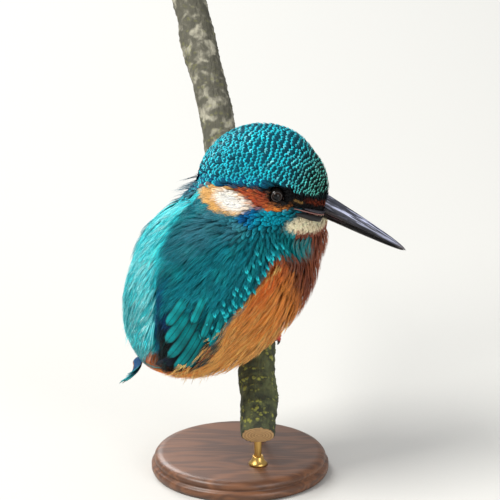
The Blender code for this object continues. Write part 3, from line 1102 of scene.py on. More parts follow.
        # Painted sheen: grey-blue laid over the mantle and scapulars, where light glances off them.
        sheen = np.maximum(oval(along, turn, (6.0, 33.0), (13.0, 13.0), 0.0, 0.7),
                           oval(along, turn, (14.0, 50.0), (8.0, 10.0), 0.0, 0.7))
        teal = mix(teal, Pigment.GREY_BLUE_AND_SHEEN, 0.36 * sheen)
        teal = mix(teal, Pigment.TEAL_LIGHT, oval(along, turn, (23.0, 106.0), (8.0, 20.0), 0.0, 0.5) * 0.7)
        zone = mix(Pigment.BACK_SHADE.rgb * 0.5, Pigment.FLIGHT_EDGE,
                   np.maximum(ease(along, -32.0, -38.0), ease(turn, 74.0, 84.0)))
        zone = mix(zone, Pigment.TEAL_DARK, ease(turn - low, -14.0, -8.0) * ease(along, -40.0, -34.0))
        teal = mix(teal, zone, self.quill_zone(along, turn))
        on_wing = ease(turn - low, 1.6, -1.6) * ease(along, -47.0, -44.0)
        rows = mix(rows, teal, on_wing)
        edge = azure_end + 1.5 * ripple(points, 2.6, 0.4)
        deep = ease(turn - edge, 7.0, 4.0) * ease(along, -18.0, -26.0)
        rows = mix(rows, Pigment.BACK_SHADE, deep * ease(along, -43.0, -40.0))
        # Partly painted highlight: the azure pales towards the back's middle line, where the light falls, and
        # also at random with the grain.
        azure = mix(Pigment.AZURE, Pigment.AZURE_LIGHT,
                    ease(grain, -0.2, 0.7) * ease(edge - turn, 2.0, 16.0) * 0.6)
        azure = mix(azure, Pigment.AZURE_DEEP, ease(ripple(points, 2.6, 5.0), 0.1, 0.85) * 0.4)
        azure = mix(azure, Pigment.TEAL_LIGHT, ease(along, -18.0, -36.0) * 0.6)
        rim = ease(turn - edge, -7.0, -1.0) * ease(along, -16.0, -30.0)
        azure = mix(azure, Pigment.BACK_SHADE, rim * 0.7)
        return mix(rows, azure, ease(turn - edge, 1.6, -1.6))

    def at(self, points: Rows) -> Rows:
        """Colours at world rows, head and body together."""
        return self.head(points, self.body(points))


# ---------------------------------------------------------------- skin


class Tract(Enum):
    """Areas of the coat that grow their own kind of feather."""

    CROWN = "crown"
    FACE = "face"
    EAR = "ear_coverts"
    COLLAR = "neck_patch"
    MALAR = "malar_stripe"
    THROAT = "throat"
    AZURE = "azure_back"
    MANTLE = "mantle"
    WING = "wing_coverts"
    UNDERWING = "underwing"
    FLANK = "flank"
    BREAST = "breast"
    BELLY = "belly"


@dataclass(frozen=True)
class Growth:
    """Sizes of one tract's feathers, in millimetres, and how their barbs vary."""

    spacing: float
    length: float
    half_width: float
    depth: float
    cut: str
    slot: str
    proud: float = 0.0
    wander: float = 8.0
    uneven: float = 0.12
    root_shade: float = 0.62
    strand_shade: float = 0.1
    colour_at: float = 0.84
    pale: Pigment | None = None
    dark: Pigment | None = None
    streaks: float = 0.6


GROWTH: dict[Tract, Growth] = {
    Tract.CROWN: Growth(1.7, 4.6, 1.1, 1.0, "tuft", "teal_plumage", root_shade=0.7),
    Tract.FACE: Growth(0.85, 2.2, 0.5, 0.8, "tuft", "teal_plumage"),
    Tract.EAR: Growth(0.95, 4.4, 0.75, 1.3, "tuft", "rufous_plumage", pale=Pigment.ORANGE,
                      dark=Pigment.BREAST_DARK, streaks=0.5),
    Tract.COLLAR: Growth(0.9, 6.4, 1.1, 1.5, "velvet", "cream_plumage", wander=2.0, uneven=0.06,
                         root_shade=1.0, strand_shade=0.03),
    Tract.MALAR: Growth(0.95, 4.2, 0.7, 1.15, "spot", "teal_plumage", root_shade=0.45),
    Tract.THROAT: Growth(0.85, 3.2, 0.95, 1.0, "velvet", "cream_plumage", wander=2.0, uneven=0.06,
                         root_shade=1.0, strand_shade=0.03),
    Tract.AZURE: Growth(1.32, 18.0, 1.35, 3.5, "silk", "azure_plumage", strand_shade=0.12, wander=6.0,
                        root_shade=0.92, pale=Pigment.AZURE_LIGHT, dark=Pigment.AZURE_DEEP),
    # The mantle's grey-blue strands are painted sheen.
    Tract.MANTLE: Growth(1.2, 10.5, 1.1, 2.7, "fine", "teal_plumage", wander=7.0, root_shade=0.75,
                         pale=Pigment.GREY_BLUE_AND_SHEEN, dark=Pigment.TEAL_DARK, streaks=0.4),
    Tract.WING: Growth(1.36, 9.5, 1.15, 2.1, "fine", "teal_plumage", wander=6.0, root_shade=0.75,
                       pale=Pigment.TEAL_LIGHT, dark=Pigment.TEAL_DARK, streaks=0.5),
    Tract.UNDERWING: Growth(1.9, 9.0, 1.5, 1.1, "barb", "teal_plumage", wander=4.0),
    Tract.FLANK: Growth(1.38, 17.0, 1.2, 3.5, "silk", "rufous_plumage", wander=6.0, strand_shade=0.12,
                        root_shade=0.8, pale=Pigment.ORANGE_GOLD, dark=Pigment.BREAST, streaks=0.5),
    Tract.BREAST: Growth(1.4, 8.5, 1.2, 2.9, "fine", "rufous_plumage", proud=0.2, wander=4.0,
                         root_shade=0.8, pale=Pigment.ORANGE, dark=Pigment.BREAST_DARK, streaks=0.5),
    Tract.BELLY: Growth(2.2, 13.0, 1.9, 3.4, "silk", "rufous_plumage", pale=Pigment.ORANGE_GOLD,
                        dark=Pigment.BREAST),
}


@dataclass
class BodySkin:
    """One skin for trunk, neck, head and folded wings, lying inside them by the coat's depth."""

    anatomy: Anatomy
    markings: Markings
    swell: float = 0.35
    voxel: float = 1.1
    rounds: int = 12
    sink: float = 0.92
    quill_cover: float = 7.5
    mantle_edge: tuple = ((-20.0, 30.0), (0.0, 44.0), (20.0, 60.0), (30.0, 80.0))
    obj: Piece = field(init=False)
    points: Rows = field(init=False)
    tree: BVHTree = field(init=False)

    def tract_of(self, points: Rows) -> Rows:
        """Tract number of each point, as the order of Tract has them.

        Args:
            points: World rows.

        Returns:
            One whole number for each row.
        """
        order = {tract: number for number, tract in enumerate(Tract)}
        along, turn = self.anatomy.angles(points)
        azure_end = self.markings.azure_limit(along, turn)
        turn = np.abs(turn)
        kind = np.full(len(points), order[Tract.FLANK])
        kind[turn > 128] = order[Tract.BELLY]
        kind[along + 0.2 * (turn - 120) > 11] = order[Tract.BREAST]
        kind[(turn < self.markings.wing_limit(along)) & (along > -47)] = order[Tract.WING]
        kind[self.markings.quill_zone(along - self.quill_cover, turn) > 0.5] = order[Tract.UNDERWING]
        mantle = (turn < np.interp(along, *np.array(self.mantle_edge).T)) & (along > -14)
        kind[mantle] = order[Tract.MANTLE]
        kind[turn < azure_end] = order[Tract.AZURE]
        on = self.markings.masks(points)
        for name, tract in (("face", Tract.FACE), ("malar", Tract.MALAR), ("ear", Tract.EAR),
                            ("throat", Tract.THROAT), ("patch", Tract.COLLAR), ("cap", Tract.CROWN)):
            kind[on[name] > 0.5] = order[tract]
        return kind

    def build(self) -> Piece:
        """Make the skin, sink it by the coat's depth and mark it.

        Returns:
            The skin, dressed and standing for the five flesh nodes.
        """
        nodes = ("trunk", "neck", "head", "wing_right", "wing_left")
        self.obj = solid_copy("skin", nodes, self.swell, self.voxel, self.rounds)
        outer = mesh_points(self.obj)
        depths = np.array([GROWTH[tract].depth for tract in Tract])[self.tract_of(outer)]
        depths = self.even_out(depths, 8)
        set_points(self.obj, outer - mesh_points(self.obj, "normal") * depths[:, None] * self.sink * MM)
        self.points = self.even_out(mesh_points(self.obj), 3)
        set_points(self.obj, self.points)
        on = self.markings.masks(self.points)
        pale = np.maximum(on["patch"], on["throat"])[:, None]
        set_tint(self.obj, self.markings.at(self.points) * (0.7 + 0.6 * pale))
        faces = [tuple(polygon.vertices) for polygon in self.obj.data.polygons]
        self.tree = BVHTree.FromPolygons(self.points.tolist(), faces)
        return finish_piece(self.obj, SkinDown("skin_down").make(), "rufous_plumage", *nodes)

    def even_out(self, values: Rows, rounds: int) -> Rows:
        """Average a number or place at each mesh point with its neighbours.

        Args:
            values: One row for each point.
            rounds: How many times.

        Returns:
            The smoothed rows.
        """
        pairs = np.empty(len(self.obj.data.edges) * 2, np.int32)
        self.obj.data.edges.foreach_get("vertices", pairs)
        first, second = pairs.reshape(-1, 2).T
        rows = values.reshape(len(values), -1).astype(float)
        count = np.bincount(first, minlength=len(rows)) + np.bincount(second, minlength=len(rows))
        for _ in range(rounds):
            total = np.zeros_like(rows)
            np.add.at(total, first, rows[second])
            np.add.at(total, second, rows[first])
            rows = 0.5 * rows + 0.5 * total / np.maximum(count, 1)[:, None]
        return rows.reshape(values.shape)

    def nearest(self, points: Rows) -> tuple[Rows, Rows]:
        """Nearest places on the skin, and the skin's direction outwards there.

        Args:
            points: World rows.

        Returns:
            Places and normals.
        """
        found = [self.tree.find_nearest(point) for point in points.tolist()]
        return np.array([hit[0] for hit in found]), np.array([hit[1] for hit in found])

    def cast(self, axes: Axes, start: Sequence[float], way: Sequence[float],
             reach: float = 70.0) -> Rows | None:
        """First place on the skin met by a ray that comes in from outside.

        Args:
            axes: Frame of the local numbers.
            start: Local place that the ray aims at.
            way: Local direction from there to where the ray starts.
            reach: How far out it starts, in millimetres.

        Returns:
            The place in metres, or None.
        """
        inner = axes.out(start)
        outward = unit(axes.heading(way))
        hit = self.tree.ray_cast(Vector(inner + outward * reach * MM), Vector(-outward), reach * MM)
        return None if hit[0] is None else np.array(hit[0])

    def beside(self, along: float, degrees: float) -> Rows:
        """Place on the skin beside the trunk's axis.

        Args:
            along: Distance along the trunk.
            degrees: Angle round it.

        Returns:
            The place in metres.
        """
        way = self.anatomy.around(0.0, degrees)
        hit = self.cast(self.anatomy.trunk, (along, 0.0, 0.0), way)
        return self.anatomy.trunk.out(self.anatomy.around(along, degrees)) if hit is None else hit


# ---------------------------------------------------------------- feathers


@dataclass(frozen=True)
class Template:
    """One feather shape: rows of along, across and height, with its closed faces."""

    along: Rows
    across: Rows
    height: Rows
    stage: Rows
    strand: Rows
    faces: Rows


@dataclass(frozen=True)
class Fan:
    """A feather of separate barbs: a fan of closed three-sided strands that taper to points."""

    strands: int
    stops: tuple[float, ...] = (0.0, 0.3, 0.6, 0.85)
    root_spread: float = 0.45
    tip_spread: float = 1.0
    ragged: float = 0.26
    stray: float = 0.2
    thick: float = 0.22
    overlap: float = 1.5
    camber: float = 0.3
    variants: int = 7

    def one(self, rng: np.random.Generator) -> Template:
        """Make one variant.

        Args:
            rng: Source of chance.

        Returns:
            The template.
        """
        count, corner, stop = len(self.stops) * 3, np.arange(3), np.array([*self.stops, 1.0])
        tip = np.stack([count - 3 + corner, count - 3 + (corner + 1) % 3, np.full(3, count)], -1)
        closed = np.concatenate([[(0, 2, 1)], tube_faces(len(self.stops), 3), tip])
        points, faces = [], []
        for number in range(self.strands):
            lane = (number + 0.5) / self.strands * 2 - 1
            lane += rng.normal(0, 0.25 / self.strands)
            start, end = 0.12 * rng.random(), 1.0 - self.ragged * rng.random() - 0.14 * abs(lane) ** 2
            bend, lift = rng.normal(0, self.stray * 0.5), rng.normal(0.02, self.stray * 0.5)
            stack, wide = 0.25 * rng.random(), self.overlap / self.strands * rng.uniform(0.8, 1.2)
            t = start + (end - start) * stop
            spread = self.root_spread + (self.tip_spread - self.root_spread) * stop ** 1.2
            v = lane * spread + bend * stop ** 2
            h = stack + lift * stop ** 2 - self.camber * v * v
            w = wide * (0.55 + 0.9 * stop - 1.25 * stop ** 2.2) * (stop < 1.0)
            rings = np.array([(t, v - w, h), (t, v + w, h), (t, v, h + self.thick * (1.0 - 0.4 * stop))])
            strand = rings.transpose(2, 0, 1).reshape(-1, 3)[:count + 1]
            faces.append(outward_faces(strand, closed) + number * (count + 1))
            points.append(strand)
        stage = np.tile(np.repeat(stop, 3)[:count + 1], self.strands)
        numbers = np.repeat(np.arange(self.strands), count + 1)
        return Template(*np.concatenate(points).T, stage, numbers, np.concatenate(faces))

    def make(self, rng: np.random.Generator) -> list[Template]:
        """Make all variants."""
        return [self.one(rng) for _ in range(self.variants)]


@dataclass(frozen=True)
class Blade:
    """A whole vane: a thin closed blade with a raised shaft and a rounded end."""

    rings: int = 12
    lanes: int = 6
    narrow: float = 0.45
    blunt: float = 0.82
    thick: float = 0.12
    shaft: float = 0.22
    camber: float = 0.35

    def make(self, rng: np.random.Generator) -> list[Template]:
        """Make the one variant.

        Args:
            rng: Not used here, kept for the same call as a fan's.

        Returns:
            A list of one template.
        """
        around = 2 * (self.lanes + 1)
        ring, lane = np.divmod(np.arange((self.rings + 1) * around), around)
        upper = lane <= self.lanes
        lane = np.where(upper, lane, around - 1 - lane)
        t, v = ring / self.rings, lane / self.lanes * 2 - 1
        wide = self.narrow + (1.0 - self.narrow) * ease(t, 0.0, 0.5)
        end = np.maximum((t - self.blunt) / (1.0 - self.blunt), 0.0)
        wide = wide * np.sqrt(np.maximum(0.02, 1.0 - end ** 2))
        edge, ridge = self.thick * (1.0 - v * v), self.shaft * np.exp(-(v * 5.0) ** 2) * (1.0 - 0.6 * t)
        height = np.where(upper, edge + ridge, -0.4 * edge) - self.camber * v * v
        points = np.stack([t, v * wide, height], -1)
        step = np.arange(self.lanes)
        quads = np.stack([step, step + 1, around - 2 - step, around - 1 - step], -1)
        caps = np.concatenate([quads[:, [0, 2, 1]], quads[:, [0, 3, 2]]])
        faces = [tube_faces(self.rings + 1, around), caps, caps[:, ::-1] + self.rings * around]
        return [Template(*points.T, t, lane, outward_faces(points, np.concatenate(faces)))]


CUTS: dict[str, Fan | Blade] = {
    "silk": Fan(12, thick=0.06, overlap=1.65, stray=0.13, ragged=0.5, camber=0.1),
    "velvet": Fan(13, stops=(0.0, 0.35, 0.75), thick=0.02, overlap=2.9, stray=0.03, ragged=0.36, camber=0.05),
    "fine": Fan(16, stops=(0.0, 0.35, 0.75), thick=0.04, overlap=1.75, stray=0.09, ragged=0.5, camber=0.08),
    "barb": Fan(12, thick=0.05, overlap=1.65, stray=0.07, ragged=0.44, camber=0.08),
    "tuft": Fan(5, stops=(0.0, 0.4, 0.8), ragged=0.2, stray=0.16, overlap=1.7, thick=0.14, camber=0.15),
    "spot": Fan(5, stops=(0.0, 0.5, 0.79, 0.86, 0.95), ragged=0.04, stray=0.03, root_spread=0.7,
                tip_spread=0.86, overlap=2.8, thick=0.06, camber=0.16),
    "wisp": Fan(4, stops=(0.0, 0.25, 0.5, 0.75), root_spread=0.5, tip_spread=1.3, ragged=0.4, stray=0.5,
                overlap=0.9, thick=0.12),
    "quill": Blade(narrow=0.86, blunt=0.76, thick=0.07, shaft=0.1, camber=0.13),
    "rectrix": Blade(narrow=0.8, blunt=0.5, thick=0.08, shaft=0.12, camber=0.12),
    "bead": Fan(7, stops=(0.0, 0.45, 0.68, 0.8, 0.92), ragged=0.2, stray=0.08, root_spread=0.6,
                tip_spread=0.9, overlap=2.3, thick=0.05, camber=0.12),
}
Pattern = Callable[[Rows, Template, Rows], Rows]


def thinned(points: Rows, gaps: Rows) -> list[int]:
    """Choose points in turn, each only if it is clear of those chosen before.

    Args:
        points: Rows of places.
        gaps: Least distance of each point from its neighbours.

    Returns:
        Numbers of the chosen points.
    """
    grid: dict[tuple[int, ...], list[list[float]]] = {}
    keys = np.floor(points / gaps.max()).astype(int).tolist()
    steps = [(i, j, k) for i in (-1, 0, 1) for j in (-1, 0, 1) for k in (-1, 0, 1)]
    kept = []
    for number, ((i, j, k), (x, y, z), limit) in enumerate(zip(keys, points.tolist(), (gaps ** 2).tolist())):
        near = (place for a, b, c in steps for place in grid.get((i + a, j + b, k + c), ()))
        if all((p - x) ** 2 + (q - y) ** 2 + (r - z) ** 2 >= limit for p, q, r in near):
            grid.setdefault((i, j, k), []).append([x, y, z])
            kept.append(number)
    return kept


@dataclass
class Lines:
    """Centre lines of feathers over the skin."""

    spine: Rows
    normals: Rows
    half_width: Rows
    depth: Rows

    @property
    def sides(self) -> Rows:
        """Direction across each feather at each step."""
        ways = unit(np.gradient(self.spine, axis=1))
        return unit(np.cross(self.normals, ways))

    def some(self, rows: Rows) -> "Lines":
        """A selection of the lines."""
        return Lines(self.spine[rows], self.normals[rows], self.half_width[rows], self.depth[rows])

    def middle(self, share: float) -> Rows:
        """Place at a share of each line's length."""
        return self.spine[:, int(round(share * (self.spine.shape[1] - 1)))]


@dataclass
class Coat:
    """Grows feathers on the skin and keeps count of them."""

    anatomy: Anatomy
    markings: Markings
    skin: BodySkin
    steps: int = 6
    most_faces: int = 190_000
    patch: float = 0.003
    total: int = 0
    rng: np.random.Generator = field(default_factory=lambda: np.random.default_rng(SEED))
    finishes: dict[str, Material] = field(default_factory=dict)
    templates: dict[str, list[Template]] = field(default_factory=dict)

    def __post_init__(self) -> None:
        """Make the templates and the plumage finishes."""
        self.templates = {name: cut.make(self.rng) for name, cut in CUTS.items()}
        self.finishes = {
            "azure_plumage": Plumage("azure_feathers", 0.5, 0.12, 0.3).make(),
            "teal_plumage": Plumage("teal_feathers", 0.52, 0.02, 0.14).make(),
            "rufous_plumage": Plumage("rufous_feathers", 0.6, 0.1, 0.2).make(),
            "cream_plumage": Plumage("cream_feathers", 0.65, 0.1, 0.2, relief=0.00002).make(),
        }

    def flow(self, points: Rows, normals: Rows) -> Rows:
        """Direction in which feathers lie.

        Args:
            points: World rows on the skin.
            normals: Skin directions there.

        Returns:
            Unit rows along the skin.
        """
        anatomy = self.anatomy
        along, turn = anatomy.angles(points)
        side = np.sign(turn)
        tail = np.tile(anatomy.trunk.heading((-1.0, 0.0, 0.0)), (len(points), 1))
        down = np.array([0.0, 0.0, -1.0])
        droop = 0.12 * ease(np.abs(turn), 70.0, 100.0) * ease(np.abs(turn), 160.0, 120.0)
        tail = unit(tail - down * droop[:, None])
        place, bend = anatomy.shoulder
        start = anatomy.trunk.out(anatomy.around(place, bend * np.where(side == 0, 1.0, side), 0.9))
        radial = unit(points - start)
        wing = (ease(np.abs(turn) - self.markings.wing_limit(along), 6.0, -6.0)
                * ease(np.abs(turn) - self.markings.azure_limit(along), 0.0, 16.0))
        share = (wing * (0.35 + 0.5 * ease(along, -20.0, 12.0)))[:, None]
        body = unit(radial * share + tail * (1.0 - share))
        pole = anatomy.head.out(anatomy.bill_base)
        head = unit(points - pole)
        head = unit(head + down * 0.25 * ease(anatomy.head.into(points)[:, 2], 4.0, -6.0)[:, None])
        on = self.markings.masks(points)
        mixed = np.maximum.reduce([anatomy.headness(points), on["patch"], on["malar"], on["throat"]])[:, None]
        way = head * mixed + body * (1.0 - mixed)
        return flattened(way, normals)

    def trace(self, roots: Rows, lengths: Sizes, turns: Sizes, half_width: Sizes, depth: Sizes,
              ways: Rows | None = None) -> Lines:
        """Lay centre lines over the skin.

        Args:
            roots: World rows.
            lengths: Millimetres.
            turns: Degrees that each line turns away from the flow.
            half_width: Millimetres.
            depth: Height of each tip over the skin in millimetres.
            ways: Fixed directions, used in place of the flow.

        Returns:
            The lines.
        """
        lengths, turns, half_width, depth = (np.broadcast_to(np.asarray(given, float), len(roots))
                                             for given in (lengths, turns, half_width, depth))
        place, normal = self.skin.nearest(roots)
        spine, normals = [place], [normal]
        angle = np.radians(turns)[:, None]
        for _ in range(self.steps):
            way = flattened(self.flow(place, normal) if ways is None else ways, normal)
            way = way * np.cos(angle) + np.cross(normal, way) * np.sin(angle)
            place, fresh = self.skin.nearest(place + way * (lengths * MM / self.steps)[:, None])
            normal = unit(normal + fresh)
            spine.append(place)
            normals.append(normal)
        return Lines(np.stack(spine, 1), np.stack(normals, 1), half_width, depth)

    def hang(self, place: Rows, normal: Rows, way: Rows, length: Rows, fall: float,
             half_width: float, depth: float) -> Lines:
        """Lay centre lines that leave the skin straight and sag towards their tips.

        Args:
            place: World rows of the roots.
            normal: Skin directions there.
            way: Directions of the lines.
            length: Millimetres.
            fall: Share of the length by which a tip sags.
            half_width: Millimetres.
            depth: Height of each tip in millimetres.

        Returns:
            The lines.
        """
        steps = np.linspace(0.0, 1.0, self.steps + 1)
        sag = np.array([0.0, 0.0, -1.0]) * (steps ** 2 * fall)[:, None]
        line = way[:, None] * steps[None, :, None] + sag[None]
        line = place[:, None] + line * (length * MM)[:, None, None]
        return Lines(line, np.repeat(normal[:, None], self.steps + 1, 1), np.full(len(place), half_width),
                     np.full(len(place), depth))

    def chart(self, points: Rows) -> Rows:
        """Places on an unwrap of the skin: the trunk rolled out below, the head above.

        Args:
            points: World rows.

        Returns:
            Rows of two numbers from 0 to 1.
        """
        along, turn = self.anatomy.angles(points)
        forward = np.clip((along + 62) / 124, 0, 1)
        body = np.stack([0.02 + 0.96 * (turn / 360 + 0.5), 0.02 + 0.6 * forward], -1)
        local = unit(self.anatomy.head.into(points))
        round_bill = np.degrees(np.arctan2(local[:, 1], local[:, 2]))
        back = np.degrees(np.arccos(np.clip(local[:, 0], -1, 1)))
        head = np.stack([0.02 + 0.96 * (round_bill / 360 + 0.5), 0.65 + 0.33 * back / 180], -1)
        return np.where(self.anatomy.headness(points)[:, None] > 0.5, head, body)

    def grow(self, name: str, lines: Lines, cut: str, slot: str, pattern: Pattern, nodes: Sequence[str] = (),
             material: Material | None = None) -> list[Piece]:
        """Make feathers along lines.

        Args:
            name: Piece name.
            lines: Centre lines.
            cut: Name of the feather's cut.
            slot: The record's slot.
            pattern: Gives linear colours from line numbers, template and jitter.
            nodes: CAD nodes that the feathers stand for.
            material: Finish in place of the slot's.

        Returns:
            The pieces.
        """
        variants = self.templates[cut]
        choice = self.rng.integers(0, len(variants), len(lines.spine))
        batches: list[tuple[Rows, ...]] = []
        for number, template in enumerate(variants):
            rows = np.flatnonzero(choice == number)
            if len(rows):
                batches.append(self.batch(lines.some(rows), rows, template, pattern))
        count = sum(len(batch[1]) for batch in batches)
        if count > self.most_faces:
            halves = np.array_split(np.arange(len(lines.spine)), [len(lines.spine) // 2])
            return [piece for letter, rows in zip("ab", halves) for piece in self.grow(
                f"{name}_{letter}", lines.some(rows), cut, slot, self.shifted(pattern, rows[0]), nodes)]
        starts = np.cumsum([0] + [len(batch[0]) for batch in batches])
        batches = [(batch[0], batch[1] + start, *batch[2:]) for batch, start in zip(batches, starts)]
        points, faces, tints, vanes, bakes = (np.concatenate(part) for part in zip(*batches))
        obj = mesh_piece(name, points, faces)
        set_tint(obj, tints)
        set_uv(obj, "OFBake", bakes)
        set_uv(obj, "vane", vanes)
        self.total += count
        return [finish_piece(obj, material or self.finishes[slot], slot, *nodes)]

    @staticmethod
    def shifted(pattern: Pattern, start: int) -> Pattern:
        """The same pattern for lines counted from a later start."""
        return lambda rows, template, jitter: pattern(rows + start, template, jitter)

    def batch(self, lines: Lines, rows: Rows, template: Template, pattern: Pattern) -> tuple[Rows, ...]:
        """Expand one template along some lines.

        Args:
            lines: The lines.
            rows: Their numbers in the whole tract.
            template: The feather shape.
            pattern: Gives the colours.

        Returns:
            Points, faces, colours, vane places and chart places.
        """
        count, size = len(rows), len(template.along)
        where = template.along * (lines.spine.shape[1] - 1)
        low = np.clip(where.astype(int), 0, lines.spine.shape[1] - 2)
        part = (where - low)[None, :, None]

        spine, normal, side = (values[:, low] * (1.0 - part) + values[:, low + 1] * part
                               for values in (lines.spine, lines.normals, lines.sides))
        normal, side = unit(normal), unit(side)
        rise = 1.0 - (1.0 - template.along) ** 1.7
        lift = lines.depth[:, None] * rise[None]
        lift = lift + template.height[None] * np.minimum(1.0, lines.half_width)[:, None]
        points = (spine + side * (template.across[None] * lines.half_width[:, None] * MM)[..., None]
                  + normal * ((lift - 0.1) * MM)[..., None])
        jitter = self.rng.normal(0.0, 1.0, (count, int(template.strand.max()) + 2))
        tint = pattern(rows, template, jitter)
        shift = self.rng.integers(0, 40, (count, 1, 2)).astype(float)
        vane = np.stack([template.across * 0.5, template.along], -1)[None] + shift
        bake = self.chart(lines.spine[:, 0])[:, None] + self.patch * np.stack(
            [np.clip(template.across * 0.4, -0.5, 0.5), template.along - 0.5], -1)[None]
        faces = template.faces[None] + (np.arange(count) * size)[:, None, None]
        return (points.reshape(-1, 3), faces.reshape(-1, 3), tint.reshape(-1, 3), vane.reshape(-1, 2),
                bake.reshape(-1, 2))

    def soft(self, base: Rows, growth: Growth) -> Pattern:
        """Pattern of a plain feather: darker root, uneven barbs.

        Args:
            base: One colour for each line.
            growth: The tract's sizes and shades.

        Returns:
            The pattern.
        """
        def colours(rows: Rows, template: Template, jitter: Rows) -> Rows:
            """Shade some feathers.

            Args:
                rows: Line numbers.
                template: The feather shape.
                jitter: Chance for each line and strand.

            Returns:
                Linear colours for each line's points.
            """
            root = growth.root_shade + (1.0 - growth.root_shade) * ease(template.along, 0.05, 0.6)
            each = jitter[:, 1 + template.strand]
            whole = 1.0 + 0.07 * jitter[:, :1]
            hue = np.repeat(base[rows][:, None], len(template.along), 1)
            level = hue.max(-1, keepdims=True)
            for pigment, sign in ((growth.pale, 1.0), (growth.dark, -1.0)):
                if pigment is not None:
                    share = ease(each * sign, 0.35, 1.6) * growth.streaks
                    tone_now = pigment.rgb * (0.35 + 0.65 * np.minimum(1.0, level / pigment.rgb.max()))
                    hue = mix(hue, tone_now, share)
            return hue * (root[None] * (1.0 + growth.strand_shade * each) * whole)[..., None]
        return colours

    @staticmethod
    def tipped(base: Rows) -> Pattern:
        """Pattern of a short dark feather with a lighter tip.

        Args:
            base: One colour for each line.

        Returns:
            The pattern.
        """
        def colours(rows: Rows, template: Template, jitter: Rows) -> Rows:
            """Shade some feathers.

            Args:
                rows: Line numbers.
                template: The feather shape.
                jitter: Chance for each line and strand.

            Returns:
                Linear colours for each line's points.
            """
            band = 0.62 + 0.6 * ease(template.stage, 0.7, 0.86) * ease(np.abs(template.across), 1.0, 0.5)
            level = band[None] * (1.0 + 0.14 * jitter[:, 1 + template.strand] + 0.12 * jitter[:, :1])
            return base[rows][:, None] * level[..., None]
        return colours

    @staticmethod
    def spotted(base: Rows, spot: Rows, band: Callable[[Template], Rows], root: float, grown: float,
                uneven: float, flash: float = 0.0) -> Pattern:
        """Pattern of a dark feather with a bright spot.

        Args:
            base: One dark colour for each line.
            spot: One bright colour for each line.
            band: Gives the spot's share along a template.
            root: Brightness at the root.
            grown: Share of the length at which the dark colour is full.
            uneven: How much the strands differ.
            flash: How much the spots differ.

        Returns:
            The pattern.
        """
        def colours(rows: Rows, template: Template, jitter: Rows) -> Rows:
            """Shade some feathers.

            Args:
                rows: Line numbers.
                template: The feather shape.
                jitter: Chance for each line and strand.

            Returns:
                Linear colours for each line's points.
            """
            shade = root + (1.0 - root) * ease(template.stage, 0.1, grown)
            shade = shade * (1.0 + uneven * jitter[:, 1 + template.strand])
            dark = base[rows][:, None] * shade[..., None]
            bright = spot[rows][:, None] * (1.0 + flash * jitter[:, :1, None])
            return mix(dark, bright, band(template)[None])
        return colours

    def roots(self) -> tuple[Rows, Rows]:
        """Scatter roots over the skin, each kept clear of its neighbours by its tract's spacing.

        Returns:
            World rows and tract numbers.
        """
        mesh = self.skin.obj.data
        mesh.calc_loop_triangles()
        corners = np.empty(len(mesh.loop_triangles) * 3, np.int32)
        mesh.loop_triangles.foreach_get("vertices", corners)
        a, b, c = (self.skin.points[corners.reshape(-1, 3)[:, k]] for k in range(3))
        spacing = np.array([GROWTH[tract].spacing for tract in Tract])
        gap = spacing[self.skin.tract_of((a + b + c) / 3)]
        weight = np.linalg.norm(np.cross(b - a, c - a), axis=1) / 2 / (gap * MM) ** 2
        pick = self.rng.choice(len(a), int(weight.sum() * 5), p=weight / weight.sum())
        u, v = self.rng.random((2, len(pick), 1))
        fold = u + v > 1
        u, v = np.where(fold, 1 - u, u), np.where(fold, 1 - v, v)
        points = a[pick] + (b[pick] - a[pick]) * u + (c[pick] - a[pick]) * v
        tracts = self.skin.tract_of(points)
        kept = thinned(points, spacing[tracts] * MM)
        return points[kept], tracts[kept]

    def build(self) -> None:
        """Grow every tract."""
        points, numbers = self.roots()
        for number, tract in enumerate(Tract):
            growth, mine = GROWTH[tract], points[numbers == number]
            if not len(mine):
                continue
            scale = 1.0 + growth.uneven * self.rng.normal(0, 1, (2, len(mine)))
            if tract in (Tract.WING, Tract.MANTLE):
                scale *= 1.0 - 0.35 * ease(self.anatomy.angles(mine)[0], 8.0, 16.0)
            lines = self.trace(mine, growth.length * scale[0], self.rng.normal(0, growth.wander, len(mine)),
                               growth.half_width * scale[1],
                               (growth.depth + growth.proud) * self.rng.uniform(0.85, 1.08, len(mine)))
            base = self.markings.at(lines.middle(growth.colour_at))
            pattern = self.tipped(base) if tract is Tract.MALAR else self.soft(base, growth)
            self.grow(f"coat_{tract.value}", lines, growth.cut, growth.slot, pattern)


